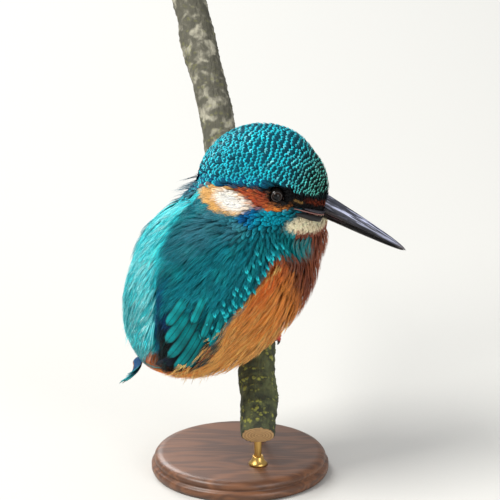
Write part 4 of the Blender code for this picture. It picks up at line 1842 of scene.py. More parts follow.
@dataclass
class CrownRows:
    """Short crown feathers in arcs round the bill, each with a pale spot before its dark tip."""

    coat: Coat
    row_gap: float = 2.1
    in_row: float = 1.42
    length: float = 4.8
    half_width: float = 0.92
    depth: float = 1.75
    first: float = 14.0
    last: float = 168.0
    reach: float = 25.0
    smallest: float = 0.68

    def roots(self) -> tuple[Rows, Rows]:
        """Set the feathers out in staggered arcs over the cap.

        Returns:
            Root places, and each feather's size against the full one.
        """
        axes, skin = self.coat.anatomy.head, self.coat.skin
        pole = unit(np.array([25.0, 0.0, 3.0]))
        left = np.array([0.0, 1.0, 0.0])
        over = np.cross(pole, left)
        found: list[Rows] = []
        sizes: list[float] = []
        back, row = self.first, 0
        while back < self.last:
            size = self.smallest + (1.0 - self.smallest) * float(ease(back, 18.0, 75.0))
            ring = self.reach * math.sin(math.radians(back))
            gap = math.degrees(self.in_row * size / max(ring, 6.0))
            count = int(150.0 / gap)
            for number in range(-count, count + 1):
                loose = float(ease(back, 85.0, 150.0))
                turn = (number + 0.5 * (row % 2)) * gap + self.coat.rng.normal(0, gap * (0.05 + 0.16 * loose))
                turn = math.radians(turn)
                wave = 1.3 * math.sin(turn * 7.0 + back * 0.11) + 0.9 * math.sin(turn * 17.0 - back * 0.2)
                lean = math.radians(back + wave * (1.0 - loose) + self.coat.rng.normal(0, 0.35 + 1.0 * loose))
                way = pole * math.cos(lean) + (over * math.cos(turn) + left * math.sin(turn)) * math.sin(lean)
                place = skin.cast(axes, (0.0, 0.0, 0.0), way, 60.0)
                if place is not None:
                    found.append(place)
                    sizes.append(size)
            back += math.degrees(self.row_gap * size / self.reach)
            row += 1
        points = np.array(found)
        kept = skin.tract_of(points) == list(Tract).index(Tract.CROWN)
        return points[kept], np.array(sizes)[kept]

    def build(self) -> None:
        """Grow the rows."""
        coat = self.coat
        points, sizes = self.roots()
        count = len(points)
        lines = coat.trace(points, self.length * sizes * (1 + 0.04 * coat.rng.normal(size=count)),
                           coat.rng.normal(0, 3.0, count), self.half_width * sizes,
                           self.depth * (0.3 + 0.7 * sizes) * coat.rng.uniform(0.92, 1.06, count))
        tips = lines.middle(0.8)
        local = coat.anatomy.head.into(tips)
        front = ease(local[:, 0], 2.0, 20.0)
        side = ease(np.abs(local[:, 1]), 8.0, 17.0) * ease(local[:, 0], 0.0, -12.0)
        base = coat.markings.at(tips)
        spot = mix(Pigment.SPOT_BACK, Pigment.SPOT_FRONT, front)
        spot = mix(spot, Pigment.MALAR, side * 0.55)
        spot = mix(spot, Pigment.AZURE_LIGHT, ease(ripple(tips, 2.4, 3.0), 0.2, 0.9) * 0.4 * (1.0 - side))
        dull = 0.35 * front * ease(local[:, 0], 17.0, 26.0)
        spot *= (1.0 + 0.18 * coat.rng.normal(size=(count, 1))) * (1.0 - dull)[:, None]

        def band(shape: Template) -> Rows:
            """Share of the spot along a feather."""
            return (ease(shape.stage, 0.79, 0.86) * ease(shape.stage, 1.0, 0.95)
                    * ease(np.abs(shape.across), 1.15, 0.75))

        coat.grow("coat_crown_rows", lines, "spot", "teal_plumage",
                  coat.spotted(base, spot, band, root=0.55, grown=0.6, uneven=0.08))


@dataclass
class Accents:
    """Feathers that stand apart: cyan-tipped coverts, nape wisps, orange hairs over the wing's edge."""

    coat: Coat
    spot_count: int = 19
    spot_first: float = 18.0
    spot_gap: float = 2.5
    wisp_count: int = 60
    hairs: int = 280
    plumes: int = 44

    def spots(self) -> None:
        """Coverts with bright tips along the wing's lower edge, on both sides."""
        coat, roots, ways = self.coat, [], []
        for number in range(self.spot_count):
            along = self.spot_first - self.spot_gap * number
            limit = float(coat.markings.wing_limit(np.array([along]))[0])
            for back in (-1.0, 3.0, 7.5):
                for side in (-1.0, 1.0):
                    place = along + coat.rng.normal(0.0, 0.7) + (0.45 * self.spot_gap if back > 0 else 0.0)
                    turn = limit - back + coat.rng.normal(0.0, 1.3)
                    if coat.rng.random() < 0.08 + 0.03 * max(back, 0.0) ** 1.2:
                        continue
                    tip = coat.skin.beside(place, side * turn)
                    root = coat.skin.beside(place + 3.6, side * (turn - 7.5))
                    roots.append(root)
                    ways.append(unit(tip - root))
        count = len(roots)
        lines = coat.trace(np.array(roots), coat.rng.uniform(3.2, 4.4, count), 0.0,
                           coat.rng.uniform(0.6, 0.85, count), 2.75, np.array(ways))
        base = 0.65 * coat.markings.at(lines.middle(0.5)) + 0.35 * Pigment.TEAL.rgb
        bright = np.tile(Pigment.CYAN_SPOT.rgb * 1.15, (count, 1))
        pattern = coat.spotted(base, bright, lambda shape: ease(shape.stage, 0.62, 0.86),
                               root=0.6, grown=0.5, uneven=0.1, flash=0.15 / 1.15)
        coat.grow("coat_wing_spots", lines, "bead", "teal_plumage", pattern)

    def wisps(self) -> None:
        """Dark blue wisps that leave the back of the head."""
        coat, count = self.coat, self.wisp_count
        side = np.where(coat.rng.random(count) < 0.5, 1.0, -1.0)
        local = np.stack([coat.rng.normal(-21.0, 2.0, count), side * np.abs(coat.rng.normal(8.0, 4.0, count)),
                          coat.rng.uniform(-14.0, -5.0, count)], -1)
        place, normal = coat.skin.nearest(coat.anatomy.head.out(local))
        way = unit(np.array([-0.9, 0.0, -0.3]) + 0.2 * normal + coat.rng.normal(0, 0.1, (count, 3)))
        lines = coat.hang(place, normal, way, coat.rng.uniform(7.0, 13.0, count), 0.14, 0.42, 0.5)
        base = np.tile(Pigment.GREY_BLUE_AND_SHEEN.rgb * 0.85, (count, 1))
        coat.grow("coat_nape_wisps", lines, "wisp", "teal_plumage", coat.soft(base, GROWTH[Tract.CROWN]))

    def wing_hairs(self) -> None:
        """Short orange hairs that cross the wing's lower edge."""
        coat, roots = self.coat, []
        for _ in range(self.hairs):
            along = coat.rng.uniform(-42.0, 18.0)
            turn = float(coat.markings.wing_limit(np.array([along]))[0]) + coat.rng.normal(5.0, 2.0)
            roots.append(coat.skin.beside(along, math.copysign(turn, coat.rng.random() - 0.5)))
        count = len(roots)
        ways = unit(coat.anatomy.trunk.heading((-1.0, 0.0, 0.55)) + coat.rng.normal(0, 0.12, (count, 3)))
        lines = coat.trace(np.array(roots), coat.rng.uniform(5.0, 9.0, count), 0.0, 0.5,
                           coat.rng.uniform(3.3, 4.0, count), ways)
        base = np.where(coat.rng.random((count, 1)) < 0.5, Pigment.ORANGE_HOT.rgb, Pigment.ORANGE_GOLD.rgb)
        coat.grow("coat_wing_hairs", lines, "wisp", "rufous_plumage", coat.soft(base, GROWTH[Tract.FLANK]))

    def vent(self) -> None:
        """Long pale orange plumes under the tail and cyan ones over it."""
        coat = self.coat
        for name, turns, longest, pigment, tract in (
                ("coat_vent_plumes", (88.0, 150.0), 7.5, Pigment.ORANGE_GOLD, Tract.FLANK),
                ("coat_rump_plumes", (0.0, 46.0), 10.0, Pigment.AZURE, Tract.AZURE)):
            roots = []
            for _ in range(self.plumes):
                turn = coat.rng.uniform(*turns) * math.copysign(1.0, coat.rng.random() - 0.5)
                roots.append(coat.skin.beside(coat.rng.uniform(-41.0, -33.0), turn))
            tail = coat.anatomy.trunk.heading((-1.0, 0.0, 0.0))
            if tract is Tract.AZURE:
                tail = unit(0.5 * tail + np.array([0.12, 0.0, -0.8]))
            place, normal = coat.skin.nearest(np.array(roots))
            length = coat.rng.uniform(5.0, longest, self.plumes)
            out = normal - normal @ tail[:, None] * tail
            way = unit(tail + 0.12 * out + coat.rng.normal(0, 0.06, out.shape))
            lines = coat.hang(place, normal, way, length, 0.16, 1.1, 1.0)
            base = np.tile(pigment.rgb, (self.plumes, 1))
            coat.grow(name, lines, "wisp", GROWTH[tract].slot, coat.soft(base, GROWTH[tract]))

    def stray_hairs(self) -> None:
        """Fine loose barbs over the azure back and along the lower flank."""
        coat = self.coat
        for name, count, reach, high, pigments, tract in (
                ("coat_back_hairs", 300, (-38.0, 8.0), (3.5, 4.3), (Pigment.AZURE, Pigment.AZURE_LIGHT),
                 Tract.AZURE),
                ("coat_flank_hairs", 400, (-42.0, 6.0), (3.5, 4.4), (Pigment.ORANGE_GOLD, Pigment.ORANGE),
                 Tract.FLANK)):
            along = coat.rng.uniform(*reach, count)
            share = coat.rng.random(count)
            side = np.where(coat.rng.random(count) < 0.5, 1.0, -1.0)
            inner = coat.markings.azure_limit(along) - 4.0
            turn = inner * share if tract is Tract.AZURE else 88.0 + 60.0 * share
            roots = [coat.skin.beside(a, t) for a, t in zip(along.tolist(), (turn * side).tolist())]
            lines = coat.trace(np.array(roots), coat.rng.uniform(8.0, 13.0, count),
                               coat.rng.normal(0.0, 7.0, count), 0.5, coat.rng.uniform(*high, count))
            base = np.where(coat.rng.random((count, 1)) < 0.75, pigments[0].rgb, pigments[1].rgb)
            coat.grow(name, lines, "wisp", GROWTH[tract].slot, coat.soft(base, GROWTH[tract]))

    def build(self) -> None:
        """Grow all of them."""
        self.vent()
        self.spots()
        self.wisps()
        self.wing_hairs()
        self.stray_hairs()


@dataclass
class WingFeathers:
    """Flight feathers of the folded wing: oblong vanes with painted shade along their edges, overlapping like
    tiles.
    """

    coat: Coat
    rows: tuple = (
        # root along, root angle, tip along, tip angle, half-width, height, dark share
        (-24.0, 78.0, -45.0, 82.0, 2.3, 1.7, 0.9),
        (-24.0, 88.0, -44.5, 96.0, 2.2, 1.6, 0.9),
        (-18.0, 92.0, -39.5, 114.0, 2.1, 1.9, 0.1),
        (-17.0, 82.0, -41.5, 98.0, 2.2, 2.2, 0.0),
        (-17.0, 76.0, -41.4, 89.0, 2.3, 2.5, 0.0),
        (-16.0, 69.0, -39.4, 78.0, 2.4, 2.8, 0.0),
        (-15.0, 63.0, -35.0, 67.0, 2.5, 3.0, 0.0),
        (-13.0, 57.0, -29.5, 59.0, 2.3, 3.1, 0.0),
        (-9.0, 72.0, -25.2, 83.0, 1.7, 3.2, -0.3),
        (-8.0, 64.0, -23.2, 71.0, 1.8, 3.2, -0.1),
        (-9.0, 80.0, -26.0, 92.0, 1.6, 3.0, -0.1),
    )

    def build(self) -> None:
        """Lay the feathers on both wings."""
        coat, spines, normals = self.coat, [], []
        for side in (-1.0, 1.0):
            for a0, t0, a1, t1, *_ in self.rows:
                steps = np.linspace(0.0, 1.0, coat.steps + 1)
                place, normal = coat.skin.nearest(np.array(
                    [coat.skin.beside(a0 + (a1 - a0) * s, side * (t0 + (t1 - t0) * s)) for s in steps]))
                spines.append(place)
                normals.append(unit(0.5 * normal + 0.5 * normal.mean(0)))
        half, depth, dark = np.tile(np.array(self.rows)[:, 4:].T, 2)
        lines = Lines(np.array(spines), np.array(normals), half, depth)
        count = len(spines)
        black = np.maximum(dark, 0.0)[:, None]
        base = np.where(black > 0.5, Pigment.BACK_SHADE.rgb * 0.7, Pigment.FLIGHT.rgb * (1.0 - dark)[:, None])
        base = base * coat.rng.uniform(0.85, 1.2, (count, 1))

        def colours(rows: Rows, template: Template, jitter: Rows) -> Rows:
            """Shade some feathers: teal vane, edges and tip darkened as painted shade, paler outer web.

            Args:
                rows: Line numbers.
                template: The feather shape.
                jitter: Chance for each line and strand.

            Returns:
                Linear colours for each line's points.
            """
            # Painted shade: vane edges and tips go near-black, as shade in the gaps between overlapping
            # vanes.
            edge = np.maximum(ease(np.abs(template.across), 0.62, 0.8), ease(template.stage, 0.94, 1.0))
            web = 0.85 + 0.35 * ease(template.across, 0.2, -0.8) + 0.2 * np.sin(template.stage * 17.0)
            web = web * (0.6 + 0.4 * ease(template.stage, 0.0, 0.5))
            shade = base[rows][:, None] * web[None, :, None]
            shade = shade * (1.0 - black[rows] * ease(template.stage, 0.35, 0.62)[None])[..., None]
            return mix(shade, Pigment.FLIGHT_EDGE, edge[None])

        coat.grow("wing_quills", lines, "quill", "teal_plumage", colours,
                  material=Quill("flight_vanes").make())


@dataclass
class TailFeathers:
    """Short tail: two layers of blunt blue vanes over the CAD tail, under the long azure rump."""

    coat: Coat
    node: str = "tail"
    count: int = 6
    half_width: float = 1.25
    depth: float = 0.2
    fan: float = 3.6
    reach: float = 9.5
    sweep: tuple[float, float, float] = (-1.0, -0.2, 0.1)
    near: int = 0

    def lines(self) -> Lines:
        """Lay centre lines along the tail's own length.

        Returns:
            The lines, lower layer first.
        """
        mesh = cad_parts[self.node].data
        points = np.array([tuple(v.co) for v in mesh.vertices])
        middle = points.mean(0)
        ways = np.linalg.svd(points - middle, full_matrices=False)[2]
        long = ways[0] * math.copysign(1.0, -ways[0][2] + 0.2 * -ways[0][0])
        over = ways[2] * math.copysign(1.0, ways[2][2])
        side = np.cross(over, long)
        reach = (points - middle) @ long
        start, length = middle + long * reach.min(), reach.max() - reach.min()
        steps = np.linspace(0.0, 1.0, self.coat.steps + 1)[:, None]
        spines, normals, half = [], [], []
        for layer, lift in ((0, -0.5), (1, 0.45)):
            for number in range(self.count):
                lane = number - (self.count - 1) / 2
                spread = lane * self.fan / self.count
                tip = 1.24 - 0.07 * abs(lane) + 0.06 * layer + 0.06 * math.sin(number * 2.3 + layer)
                line = start + long * length * tip * steps + side * spread * MM * (0.7 + 0.9 * steps)
                line = line + over * MM * (lift - 0.03 * lane * lane + 0.12 * (number % 2))
                spines.append(line + np.array(self.sweep) * self.reach * MM * steps ** 2)
                normals.append(np.tile(over if layer else -over, (len(steps), 1)))
                half.append(self.half_width * (1.0 - 0.06 * abs(lane)))
        return Lines(np.array(spines), np.array(normals), np.array(half), np.full(len(half), self.depth))

    def build(self) -> None:
        """Make both layers."""
        coat, lines = self.coat, self.lines()
        number = np.arange(len(lines.spine))
        top, outer = number >= self.count, number % self.count == self.near
        base = np.where((top & ~outer)[:, None], Pigment.BACK_SHADE.rgb, Pigment.ORANGE.rgb * 0.6)

        def colours(rows: Rows, template: Template, jitter: Rows) -> Rows:
            """Shade some vanes: blue, edges darkened as painted shade, and teal at the tip.

            Args:
                rows: Line numbers.
                template: The feather shape.
                jitter: Chance for each line and strand.

            Returns:
                Linear colours for each line's points.
            """
            # Painted shade: the vane edges darken, as shade between neighbouring vanes.
            edge = ease(np.abs(template.across), 0.5, 0.9) * 0.8
            shade = np.repeat(base[rows][:, None], len(template.along), 1) * (1.0 + 0.2 * jitter[:, :1, None])
            bright = np.where(top[rows], 0.8, 0.7)[:, None] * ease(template.stage, 0.4, 0.95)[None]
            shade = mix(shade, Pigment.TEAL_LIGHT.rgb * 1.3, bright)
            return shade * (1.0 - edge)[None, :, None]

        coat.grow("tail_quills", lines, "rectrix", "azure_plumage", colours, (self.node,),
                  material=Quill("tail_vanes").make())


# ---------------------------------------------------------------- bill, eyes, feet


@dataclass
class Bill:
    """Dagger bill: ridged upper half, narrower lower half, gape line, nostril slits."""

    anatomy: Anatomy
    skin: BodySkin
    root: float = 16.5
    face: float = 20.0
    tip: float = 61.5
    axis: float = 4.0
    half_width: float = 4.0
    upper: float = 6.7
    lower: float = 3.4
    upper_fall: float = 0.64
    lower_fall: float = 0.52
    width_fall: float = 0.82
    rings: int = 54
    lanes: int = 26
    gap: float = 0.12
    ridge_steps: int = 29
    nostril: tuple[float, float] = (25.5, 2.3)
    gape: tuple = ((8.5, 4.3), (12.0, 4.5), (17.0, 4.1), (22.0, 3.7), (25.0, 3.4))

    def half(self, side: float) -> tuple[Rows, ...]:
        """Shape and colour one half.

        Args:
            side: 1 for the upper, -1 for the lower.

        Returns:
            Head-frame rows, faces, linear colours and places for the fine lines.
        """
        high, fall = (self.upper, self.upper_fall) if side > 0 else (self.lower, self.lower_fall)
        wide = self.half_width if side > 0 else self.half_width * 0.93
        end = self.tip if side > 0 else self.tip - 0.5
        count = self.lanes * 2
        t = np.arange(self.rings + 1)[:, None] / self.rings
        s = 1.0 - (1.0 - t) ** 1.25
        x = self.root + (end - self.root) * s
        out = np.clip((x - self.face) / (end - self.face), 0.0, 1.0)
        close = np.sqrt(1.0 - np.clip((out - 0.95) / 0.05, 0.0, 1.0) ** 2)
        slim, thin = (np.maximum(((1.0 - out) ** power + 0.02) * close, 0.012)
                      for power in (fall, self.width_fall))
        turn = math.pi * np.arange(count)[None] / self.lanes
        c, h = np.cos(turn), np.sin(turn)
        groove = np.exp(-((np.abs(c) - 0.72) / 0.12) ** 2) * (1.0 - s) ** 1.5
        y = wide * thin * np.where(h >= 0, np.copysign(np.abs(c) ** 0.9, c) * (1.0 - 0.05 * groove), 0.97 * c)
        roof = 0.86 * np.abs(h) ** 0.9 + 0.14 * np.maximum(0.0, 1.0 - np.abs(c) / 0.34)
        z = np.where(h >= 0, high * slim * roof, -0.12 * np.abs(h))
        near = np.exp(-((x - self.nostril[0]) / 1.5) ** 2 - ((z - self.nostril[1]) / 0.35) ** 2)
        if side > 0:
            y = y * (1.0 - 0.16 * near * (np.abs(y) > 1.0))
        z = np.maximum(z, 0.0) + self.gap / 2 + 0.1 * (h < 0)
        hues = self.colour(side, s, z / np.maximum(high * slim, 0.1), near)
        lane = np.minimum(turn, math.tau - turn) / math.pi
        grids = (np.stack(np.broadcast_arrays(x, y, self.axis + side * z), -1), hues,
                 np.stack(np.broadcast_arrays(lane, s * 3.0 + side), -1))
        caps = (grids[0][[0, -1]].mean(1), hues[[0, -1], 0], grids[2][[0, -1], 0])
        points, colours, vanes = (np.concatenate([grid.reshape(-1, grid.shape[-1]), cap])
                                  for grid, cap in zip(grids, caps))
        return points, outward_faces(points, tube_faces(self.rings + 1, count, poles=True)), colours, vanes

    @staticmethod
    def colour(side: float, s: Rows, share: Rows, near: Rows) -> Rows:
        """Colours over the bill, with painted sheen on the upper half's ridge.

        Args:
            side: 1 upper, -1 lower.
            s: 0 at the root and 1 at the tip.
            share: 0 at the gape and 1 at the ridge.
            near: 1 inside the nostril.

        Returns:
            Linear colours.
        """
        upper = side > 0
        base = tone(6, 5, 8)
        # Painted sheen: on the upper half the colour runs from near-black at the gape to pale grey-violet
        # towards the ridge.
        if upper:
            base = mix(mix(tone(22, 20, 28), tone(160, 164, 188), ease(share, 0.22, 0.6)), tone(14, 12, 16),
                       ease(s, 0.2, 0.06))
        gape = ease(share, 0.3, 0.05) * ease(s, 0.5, 0.2)
        base = mix(base, tone(96, 64, 66), gape * (0.7 if upper else 0.4))
        base = mix(base, tone(196, 186, 190), ease(s, 0.88, 0.98) * (0.6 if upper else 0.3))
        # Painted shade: the nostril slit is darkened as a recess.
        return base * (1.0 - 0.85 * near)[..., None]

    def ridge(self, side: float, start: float, drop: float, size: float,
              proud: float = 0.85) -> tuple[Rows, Rows]:
        """A ridge that carries the gape back over the face.

        Args:
            side: 1 for the left, -1 for the right.
            start: How far forward its rear end lies.
            drop: How far it lies under the gape.
            size: Its half-height at the bill.
            proud: How far out of the skin its middle lies.

        Returns:
            World rows and faces.
        """
        around, (f, u) = 8, np.array(self.gape).T
        starts = [(place, 0.0, float(np.interp(place, f, u)) - drop)
                  for place in np.linspace(start, f[-1], self.ridge_steps).tolist()]
        feet = [self.skin.cast(self.anatomy.head, place, (0.25, side, 0.0)) for place in starts]
        feet = [foot for foot in feet if foot is not None]
        middles = self.anatomy.head.into(np.array(feet)) + (0.2, side * proud, 0.0)
        t = np.linspace(0.0, 1.0, len(feet))[:, None]
        thick = size * np.sin(math.pi * np.minimum(0.78, 0.06 + 0.94 * t)) ** 0.4 * (0.5 + 0.5 * t)
        turn = math.tau * np.arange(around)[None] / around
        across, up = side * thick * 1.3 * np.cos(turn), thick * np.sin(turn)
        ring = np.stack([np.zeros(up.shape), across, up], -1)
        points = self.anatomy.head.out((middles[:, None] + ring).reshape(-1, 3))
        lane = np.arange(1, around - 1)
        cap = np.stack([0 * lane, lane, lane + 1], -1)
        faces = [tube_faces(len(feet), around), cap[:, ::-1], cap + len(points) - around]
        return points, outward_faces(points, np.concatenate(faces))

    def build(self) -> None:
        """Make both halves."""
        for side, name, node, horn in (
                (1.0, "bill_upper_half", "bill_upper", BillHorn("bill_upper_finish")),
                (-1.0, "bill_lower_half", "bill_lower", BillHorn("bill_lower_finish", glint=0.22))):
            points, faces, colours, vanes = self.half(side)
            obj = mesh_piece(name, self.anatomy.head.out(points), faces)
            set_tint(obj, colours)
            set_uv(obj, "vane", vanes)
            finish_piece(obj, horn.make(), "bill_horn", node)
        flesh = Horn("gape_flesh", 0.42, tone(150, 104, 98), tone(214, 190, 186)).make()
        dark = Horn("jaw_horn", 0.5, tone(7, 5, 8), tone(30, 27, 34)).make()
        # Painted highlight: the rictal ridge is pale grey horn, standing for the grey highlights along the
        # dark band behind the bill.
        grey = Horn("rictus_horn", 0.35, tone(40, 38, 46), tone(150, 150, 170)).make()
        for side, name in ((1.0, "left"), (-1.0, "right")):
            points, faces = self.ridge(side, self.gape[0][0], 0.0, 0.32)
            finish_piece(mesh_piece(f"gape_{name}", points, faces), flesh, "bill_horn")
            points, faces = self.ridge(side, 12.0, 1.7, 1.6, 1.4)
            finish_piece(mesh_piece(f"jaw_{name}", points, faces), dark, "bill_horn")
            points, faces = self.ridge(side, 15.0, -1.1, 0.85, 0.9)
            finish_piece(mesh_piece(f"rictus_{name}", points, faces), grey, "bill_horn")


@dataclass
class Eyes:
    """Eyeballs with a raised clear front, each in a ring of small lid beads."""

    anatomy: Anatomy
    rings: int = 30
    lanes: int = 48
    bulge: float = 0.28
    iris: float = 0.74
    pupil: float = 0.46
    lid_radius: float = 1.85
    ball_radius: float = 2.8
    lid_thick: float = 0.18
    beads: int = 26

    def ball(self, centre: Rows, way: Rows, radius: float) -> tuple[Rows, Rows, Rows]:
        """Shape and colour one eyeball.

        Args:
            centre: World place.
            way: Direction in which it looks.
            radius: Metres.

        Returns:
            World rows, faces and linear colours.
        """
        lean = math.pi * np.arange(1, self.rings)[:, None, None] / self.rings
        swell = self.bulge * MM * np.exp(-(lean / 0.62) ** 4)
        out = way * np.cos(lean) + self.round(way, self.lanes) * np.sin(lean)
        points = np.concatenate([(centre + out * radius + way * swell).reshape(-1, 3),
                                 [centre + way * (radius + self.bulge * MM), centre - way * radius]])
        black, brown, rim = tone(3, 3, 4), tone(34, 20, 12), tone(16, 12, 10)
        inner = np.where(np.sin(lean[:, 0]) < self.pupil, black, brown)
        hues = np.where(lean[:, 0] < math.asin(self.iris), inner, rim)
        colours = np.concatenate([np.repeat(hues, self.lanes, 0), [black, rim]])
        return points, outward_faces(points, tube_faces(self.rings - 1, self.lanes, poles=True)), colours

    @staticmethod
    def round(way: Rows, count: int) -> Rows:
        """Directions square to a direction, evenly spread round it.

        Args:
            way: Unit direction.
            count: How many.

        Returns:
            Unit rows.
        """
        flat = unit(np.cross(way, np.array([0.0, 0.0, 1.0])))
        turn = math.tau * np.arange(count)[:, None] / count
        return flat * np.cos(turn) + np.cross(flat, way) * np.sin(turn)

    def lid(self, centre: Rows, way: Rows, proud: float) -> tuple[Rows, Rows, Rows]:
        """Shape and colour one beaded lid ring, with a painted highlight on each bead.

        Args:
            centre: World place of the eyeball.
            way: Direction in which it looks.
            proud: How far out along that direction the ring lies, in millimetres.

        Returns:
            World rows, faces and linear colours.
        """
        around, across = self.beads * 4, 10
        turn = math.tau * np.arange(around)[:, None, None] / around
        tube = math.tau * np.arange(across)[:, None] / across
        pulse = 0.5 + 0.5 * np.cos(turn * self.beads)
        thick = self.lid_thick * (0.72 + 0.34 * pulse)
        radius = self.lid_radius * (1.0 + 0.07 * np.cos(turn) ** 2) + thick * np.cos(tube)
        out = self.round(way, around)[:, None]
        rows = centre + (out * radius + way * (proud + thick * np.sin(tube))) * MM
        # Painted highlight: the outward crown of each bead is painted pale.
        light = (pulse ** 3 * ease(np.sin(tube), 0.1, 0.9) * 0.8)[..., 0]
        points, colours = rows.reshape(-1, 3), mix(tone(8, 8, 10), tone(104, 92, 88), light).reshape(-1, 3)
        return points, outward_faces(points, tube_faces(around, across, wrap=True)), colours

    def build(self) -> None:
        """Make both eyes."""
        gloss = EyeGloss("eye_gloss_finish").make()
        lids = Horn("lid_skin", 0.5, None, tone(34, 30, 30)).make()
        for side, name in ((1.0, "left"), (-1.0, "right")):
            node = f"eye_{name}"
            low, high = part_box(node)
            radius = self.ball_radius * MM
            way = unit(self.anatomy.head.heading((0.2, side, 0.1)))
            centre = box_middle(node) + way * (float(high.z - low.z) / 2 - 0.0002 - radius)
            points, faces, colours = self.ball(centre, way, radius)
            obj = mesh_piece(f"eyeball_{name}", points, faces)
            set_tint(obj, colours)
            finish_piece(obj, gloss, "eye_gloss", node)
            proud = math.sqrt(max(0.1, (radius / MM) ** 2 - self.lid_radius ** 2)) + 0.15
            points, faces, colours = self.lid(centre, way, proud)
            ring = mesh_piece(f"eyelid_{name}", points, faces)
            set_tint(ring, colours)
            finish_piece(ring, lids, "eye_gloss")


@dataclass
class Feet:
    """Legs and toes rounded off from the CAD's, with raised plates; claws in horn."""

    voxel: float = 0.32
    plate: float = 0.07

    def build(self) -> None:
        """Dress legs, feet and claws."""
        skin = FootSkin("foot_skin_finish").make()
        claw = Horn("claw_horn_finish", 0.3, tone(30, 24, 24), tone(90, 76, 70)).make()
        for side in ("right", "left"):
            obj = solid_copy(f"toes_{side}", (f"leg_{side}", f"foot_{side}"), 0.3, self.voxel, 4)
            points = mesh_points(obj)
            plates = np.sin(points @ np.array([0.62, 0.4, 0.68]) / MM * 5.2)
            set_points(obj, points + mesh_points(obj, "normal") * (self.plate * plates * MM)[:, None])
            finish_piece(obj, skin, "foot_skin", f"leg_{side}", f"foot_{side}")
            for toe in ("inner", "middle", "outer", "hind"):
                node = f"claw_{side}_{toe}"
                nail = solid_copy(f"nail_{side}_{toe}", (node,), 0.0, 0.12, 3)
                finish_piece(nail, claw, "claw_horn", node)


# ---------------------------------------------------------------- branch and stand


@dataclass
class Perch:
    """Branch with rough bark, shallow ridges and a few scars."""

    voxel: float = 0.85
    ridge: float = 0.28
    lump: float = 0.4

    def build(self) -> None:
        """Make the bark over the CAD branch."""
        obj = solid_copy("branch_bark", ("perch",), 0.0, self.voxel, 2)
        points, normals = mesh_points(obj), mesh_points(obj, "normal")
        way = unit(np.linalg.svd(points - points.mean(0), full_matrices=False)[2][0])
        along = points @ way / MM
        across = points - (points @ way)[:, None] * way
        ridges = ripple(across * 3.2 + points * 0.5, 2.6, 0.7) + 0.5 * ripple(points, 1.3, 2.0)
        lumps = ripple(points, 9.0, 3.0) + 0.5 * np.sin(along * 0.9 + 2.0 * ripple(points, 12.0)) ** 8
        sides = ease(1.0 - np.abs(normals @ way), 0.2, 0.6)
        shift = (self.ridge * ridges + self.lump * lumps) * sides * MM
        set_points(obj, points + normals * shift[:, None])
        ends = np.minimum(along - along.min(), along.max() - along)
        sawn = ease(np.abs(normals @ way), 0.72, 0.9) * ease(ends, 5.0, 3.5)
        core = np.where((along > along.mean())[:, None], across[along > along.max() - 4.0].mean(0),
                        across[along < along.min() + 4.0].mean(0))
        out = np.linalg.norm(across - core, axis=1) / MM / 10.0
        set_tint(obj, np.stack([sawn, out, np.zeros(len(out))], -1))
        low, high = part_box("perch")
        bark = Bark("bark_finish", low.z + 0.42 * (high.z - low.z), low.z + 0.72 * (high.z - low.z))
        finish_piece(obj, bark.make(), "bark", "perch")


@dataclass
class Stand:
    """Turned wooden base with a moulded edge, two brass rods and their collars."""

    lanes: int = 128
    profile: tuple = ((0.0, 0.0), (0.955, 0.0), (0.985, 0.06), (1.0, 0.2), (1.0, 0.42), (0.985, 0.5),
                      (0.96, 0.54), (0.955, 0.6), (0.965, 0.66), (0.965, 0.8), (0.945, 0.92),
                      (0.905, 0.985), (0.86, 1.0), (0.0, 1.0))
    collar: tuple = ((1.06, 0.0), (2.5, 0.0), (2.6, 0.3), (2.2, 0.8), (1.7, 1.2), (1.5, 2.2), (1.35, 2.5),
                     (1.06, 2.5))

    def lathe(self, name: str, centre: Sequence[float], rows: Sequence[tuple[float, float]],
              closed: bool) -> Piece:
        """Turn a profile round the upright.

        Args:
            name: Piece name.
            centre: World place of the profile's origin.
            rows: Radius and height in metres.
            closed: True for a ring, False for a solid whose ends lie on the axis.

        Returns:
            The object.
        """
        radius, height = np.array(rows).T[:, :, None]
        turn = math.tau * np.arange(self.lanes) / self.lanes
        ring = np.stack(np.broadcast_arrays(radius * np.cos(turn), radius * np.sin(turn), height), -1)
        shape = (ring + np.array(centre)).reshape(-1, 3)
        obj = mesh_piece(name, shape, outward_faces(shape, tube_faces(len(rows), self.lanes, wrap=closed)))
        edit = bmesh.new()
        edit.from_mesh(obj.data)
        bmesh.ops.remove_doubles(edit, verts=edit.verts[:], dist=1e-6)
        bmesh.ops.recalc_face_normals(edit, faces=edit.faces[:])
        edit.to_mesh(obj.data)
        edit.free()
        return obj

    def build(self) -> None:
        """Make the base and collars and dress the rods."""
        low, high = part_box("stand_base")
        radius, height = (high.x - low.x) / 2, high.z - low.z
        centre = ((low.x + high.x) / 2, (low.y + high.y) / 2, low.z)
        rows = [(max(r * radius, 0.0), h * height) for r, h in self.profile]
        base = self.lathe("base_turned", centre, rows, False)
        finish_piece(base, TurnedWood("base_wood_finish").make(), "base_wood", "stand_base")
        brass = Brass("rod_brass_finish").make()
        for name in ("front", "back"):
            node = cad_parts[f"stand_rod_{name}"]
            node.data.materials.clear()
            node.data.materials.append(brass)
            low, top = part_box(f"stand_rod_{name}")
            thick = (top.x - low.x) / 2
            rows = [(r * thick, h * thick) for r, h in self.collar]
            middle = box_middle(f"stand_rod_{name}")
            ring = self.lathe(f"collar_{name}", (middle[0], middle[1], high.z), rows, True)
            finish_piece(ring, brass, "rod_brass")


# ---------------------------------------------------------------- studio


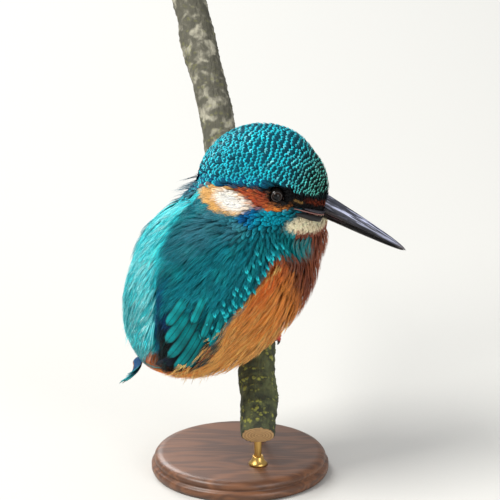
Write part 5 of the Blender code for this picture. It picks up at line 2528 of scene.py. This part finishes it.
@dataclass
class Studio:
    """Pale floor, soft lights and the camera."""

    anatomy: Anatomy
    aim_from_head: tuple[float, float, float] = (-5.6, -6.0, -23.4)
    elevation: float = 20.0
    distance: float = 2000.0
    lens: float = 360.0
    film: float = 36.0
    far: float = 50.0
    sky: float = 0.42
    floor_half: float = 6.0

    def light(self, name: str, place: tuple[float, float, float], size: float, power: float,
              colour: Colour = (1.0, 1.0, 1.0)) -> None:
        """Hang a square lamp that faces the bird.

        Args:
            name: Lamp name.
            place: Metres from the aim.
            size: Side in metres.
            power: Watts.
            colour: Linear colour.
        """
        lamp = bpy.data.lights.new(name, "AREA")
        lamp.size, lamp.energy, lamp.color = size, power, colour
        obj = bpy.data.objects.new(name, lamp)
        obj.location = self.aim() + Vector(place)
        obj.rotation_euler = (-Vector(place)).to_track_quat("-Z", "Y").to_euler()
        bpy.context.scene.collection.objects.link(obj)

    def aim(self) -> Vector:
        """Place that the camera looks at."""
        return Vector(self.anatomy.head.origin) + Vector(self.aim_from_head) * MM

    def build(self) -> None:
        """Set the studio up."""
        half = self.floor_half
        low = SOLIDS[0]
        corners = np.array([(-half, -half, low[2]), (half, -half, low[2]), (half, half, low[2]),
                            (-half, half, low[2])])
        floor = mesh_piece("studio_floor", corners, np.array([(0, 1, 2, 3)]))
        floor.data.materials.append(PalePaper("pale_floor").make())
        lean = math.radians(self.elevation)
        camera = bpy.data.cameras.new("camera")
        camera.lens, camera.sensor_width, camera.clip_end = self.lens, self.film, self.far
        obj = bpy.data.objects.new("camera", camera)
        obj.location = self.aim() + Vector((0.0, -math.cos(lean), math.sin(lean))) * self.distance * MM
        obj.rotation_euler = (math.pi / 2 - lean, 0.0, 0.0)
        bpy.context.scene.collection.objects.link(obj)
        bpy.context.scene.camera = obj
        world = bpy.data.worlds.new("studio")
        world.use_nodes = True
        sky = world.node_tree.nodes["Background"]
        sky.inputs[0].default_value = (1.0, 1.0, 1.0, 1.0)
        sky.inputs[1].default_value = self.sky
        bpy.context.scene.world = world
        self.light("key", (-0.9, -0.35, 1.1), 0.7, 26.0, (1.0, 0.98, 0.94))
        self.light("fill", (1.0, -1.4, 0.5), 1.0, 13.0)
        self.light("rim", (-0.5, 1.2, 0.8), 0.6, 12.0)
        bpy.context.scene.view_settings.view_transform = "Standard"


def main() -> None:
    """Build the model piece by piece."""
    logging.basicConfig(level=logging.INFO, format="%(name)s %(message)s")
    anatomy = Anatomy()
    markings = Markings(anatomy)
    Studio(anatomy).build()
    skin = BodySkin(anatomy, markings)
    skin.build()
    coat = Coat(anatomy, markings, skin)
    coat.build()
    CrownRows(coat).build()
    WingFeathers(coat).build()
    TailFeathers(coat).build()
    Accents(coat).build()
    Bill(anatomy, skin).build()
    Eyes(anatomy).build()
    Feet().build()
    Perch().build()
    Stand().build()
    log.info("coat: %d triangles", coat.total)


if __name__ == "__main__":
    main()
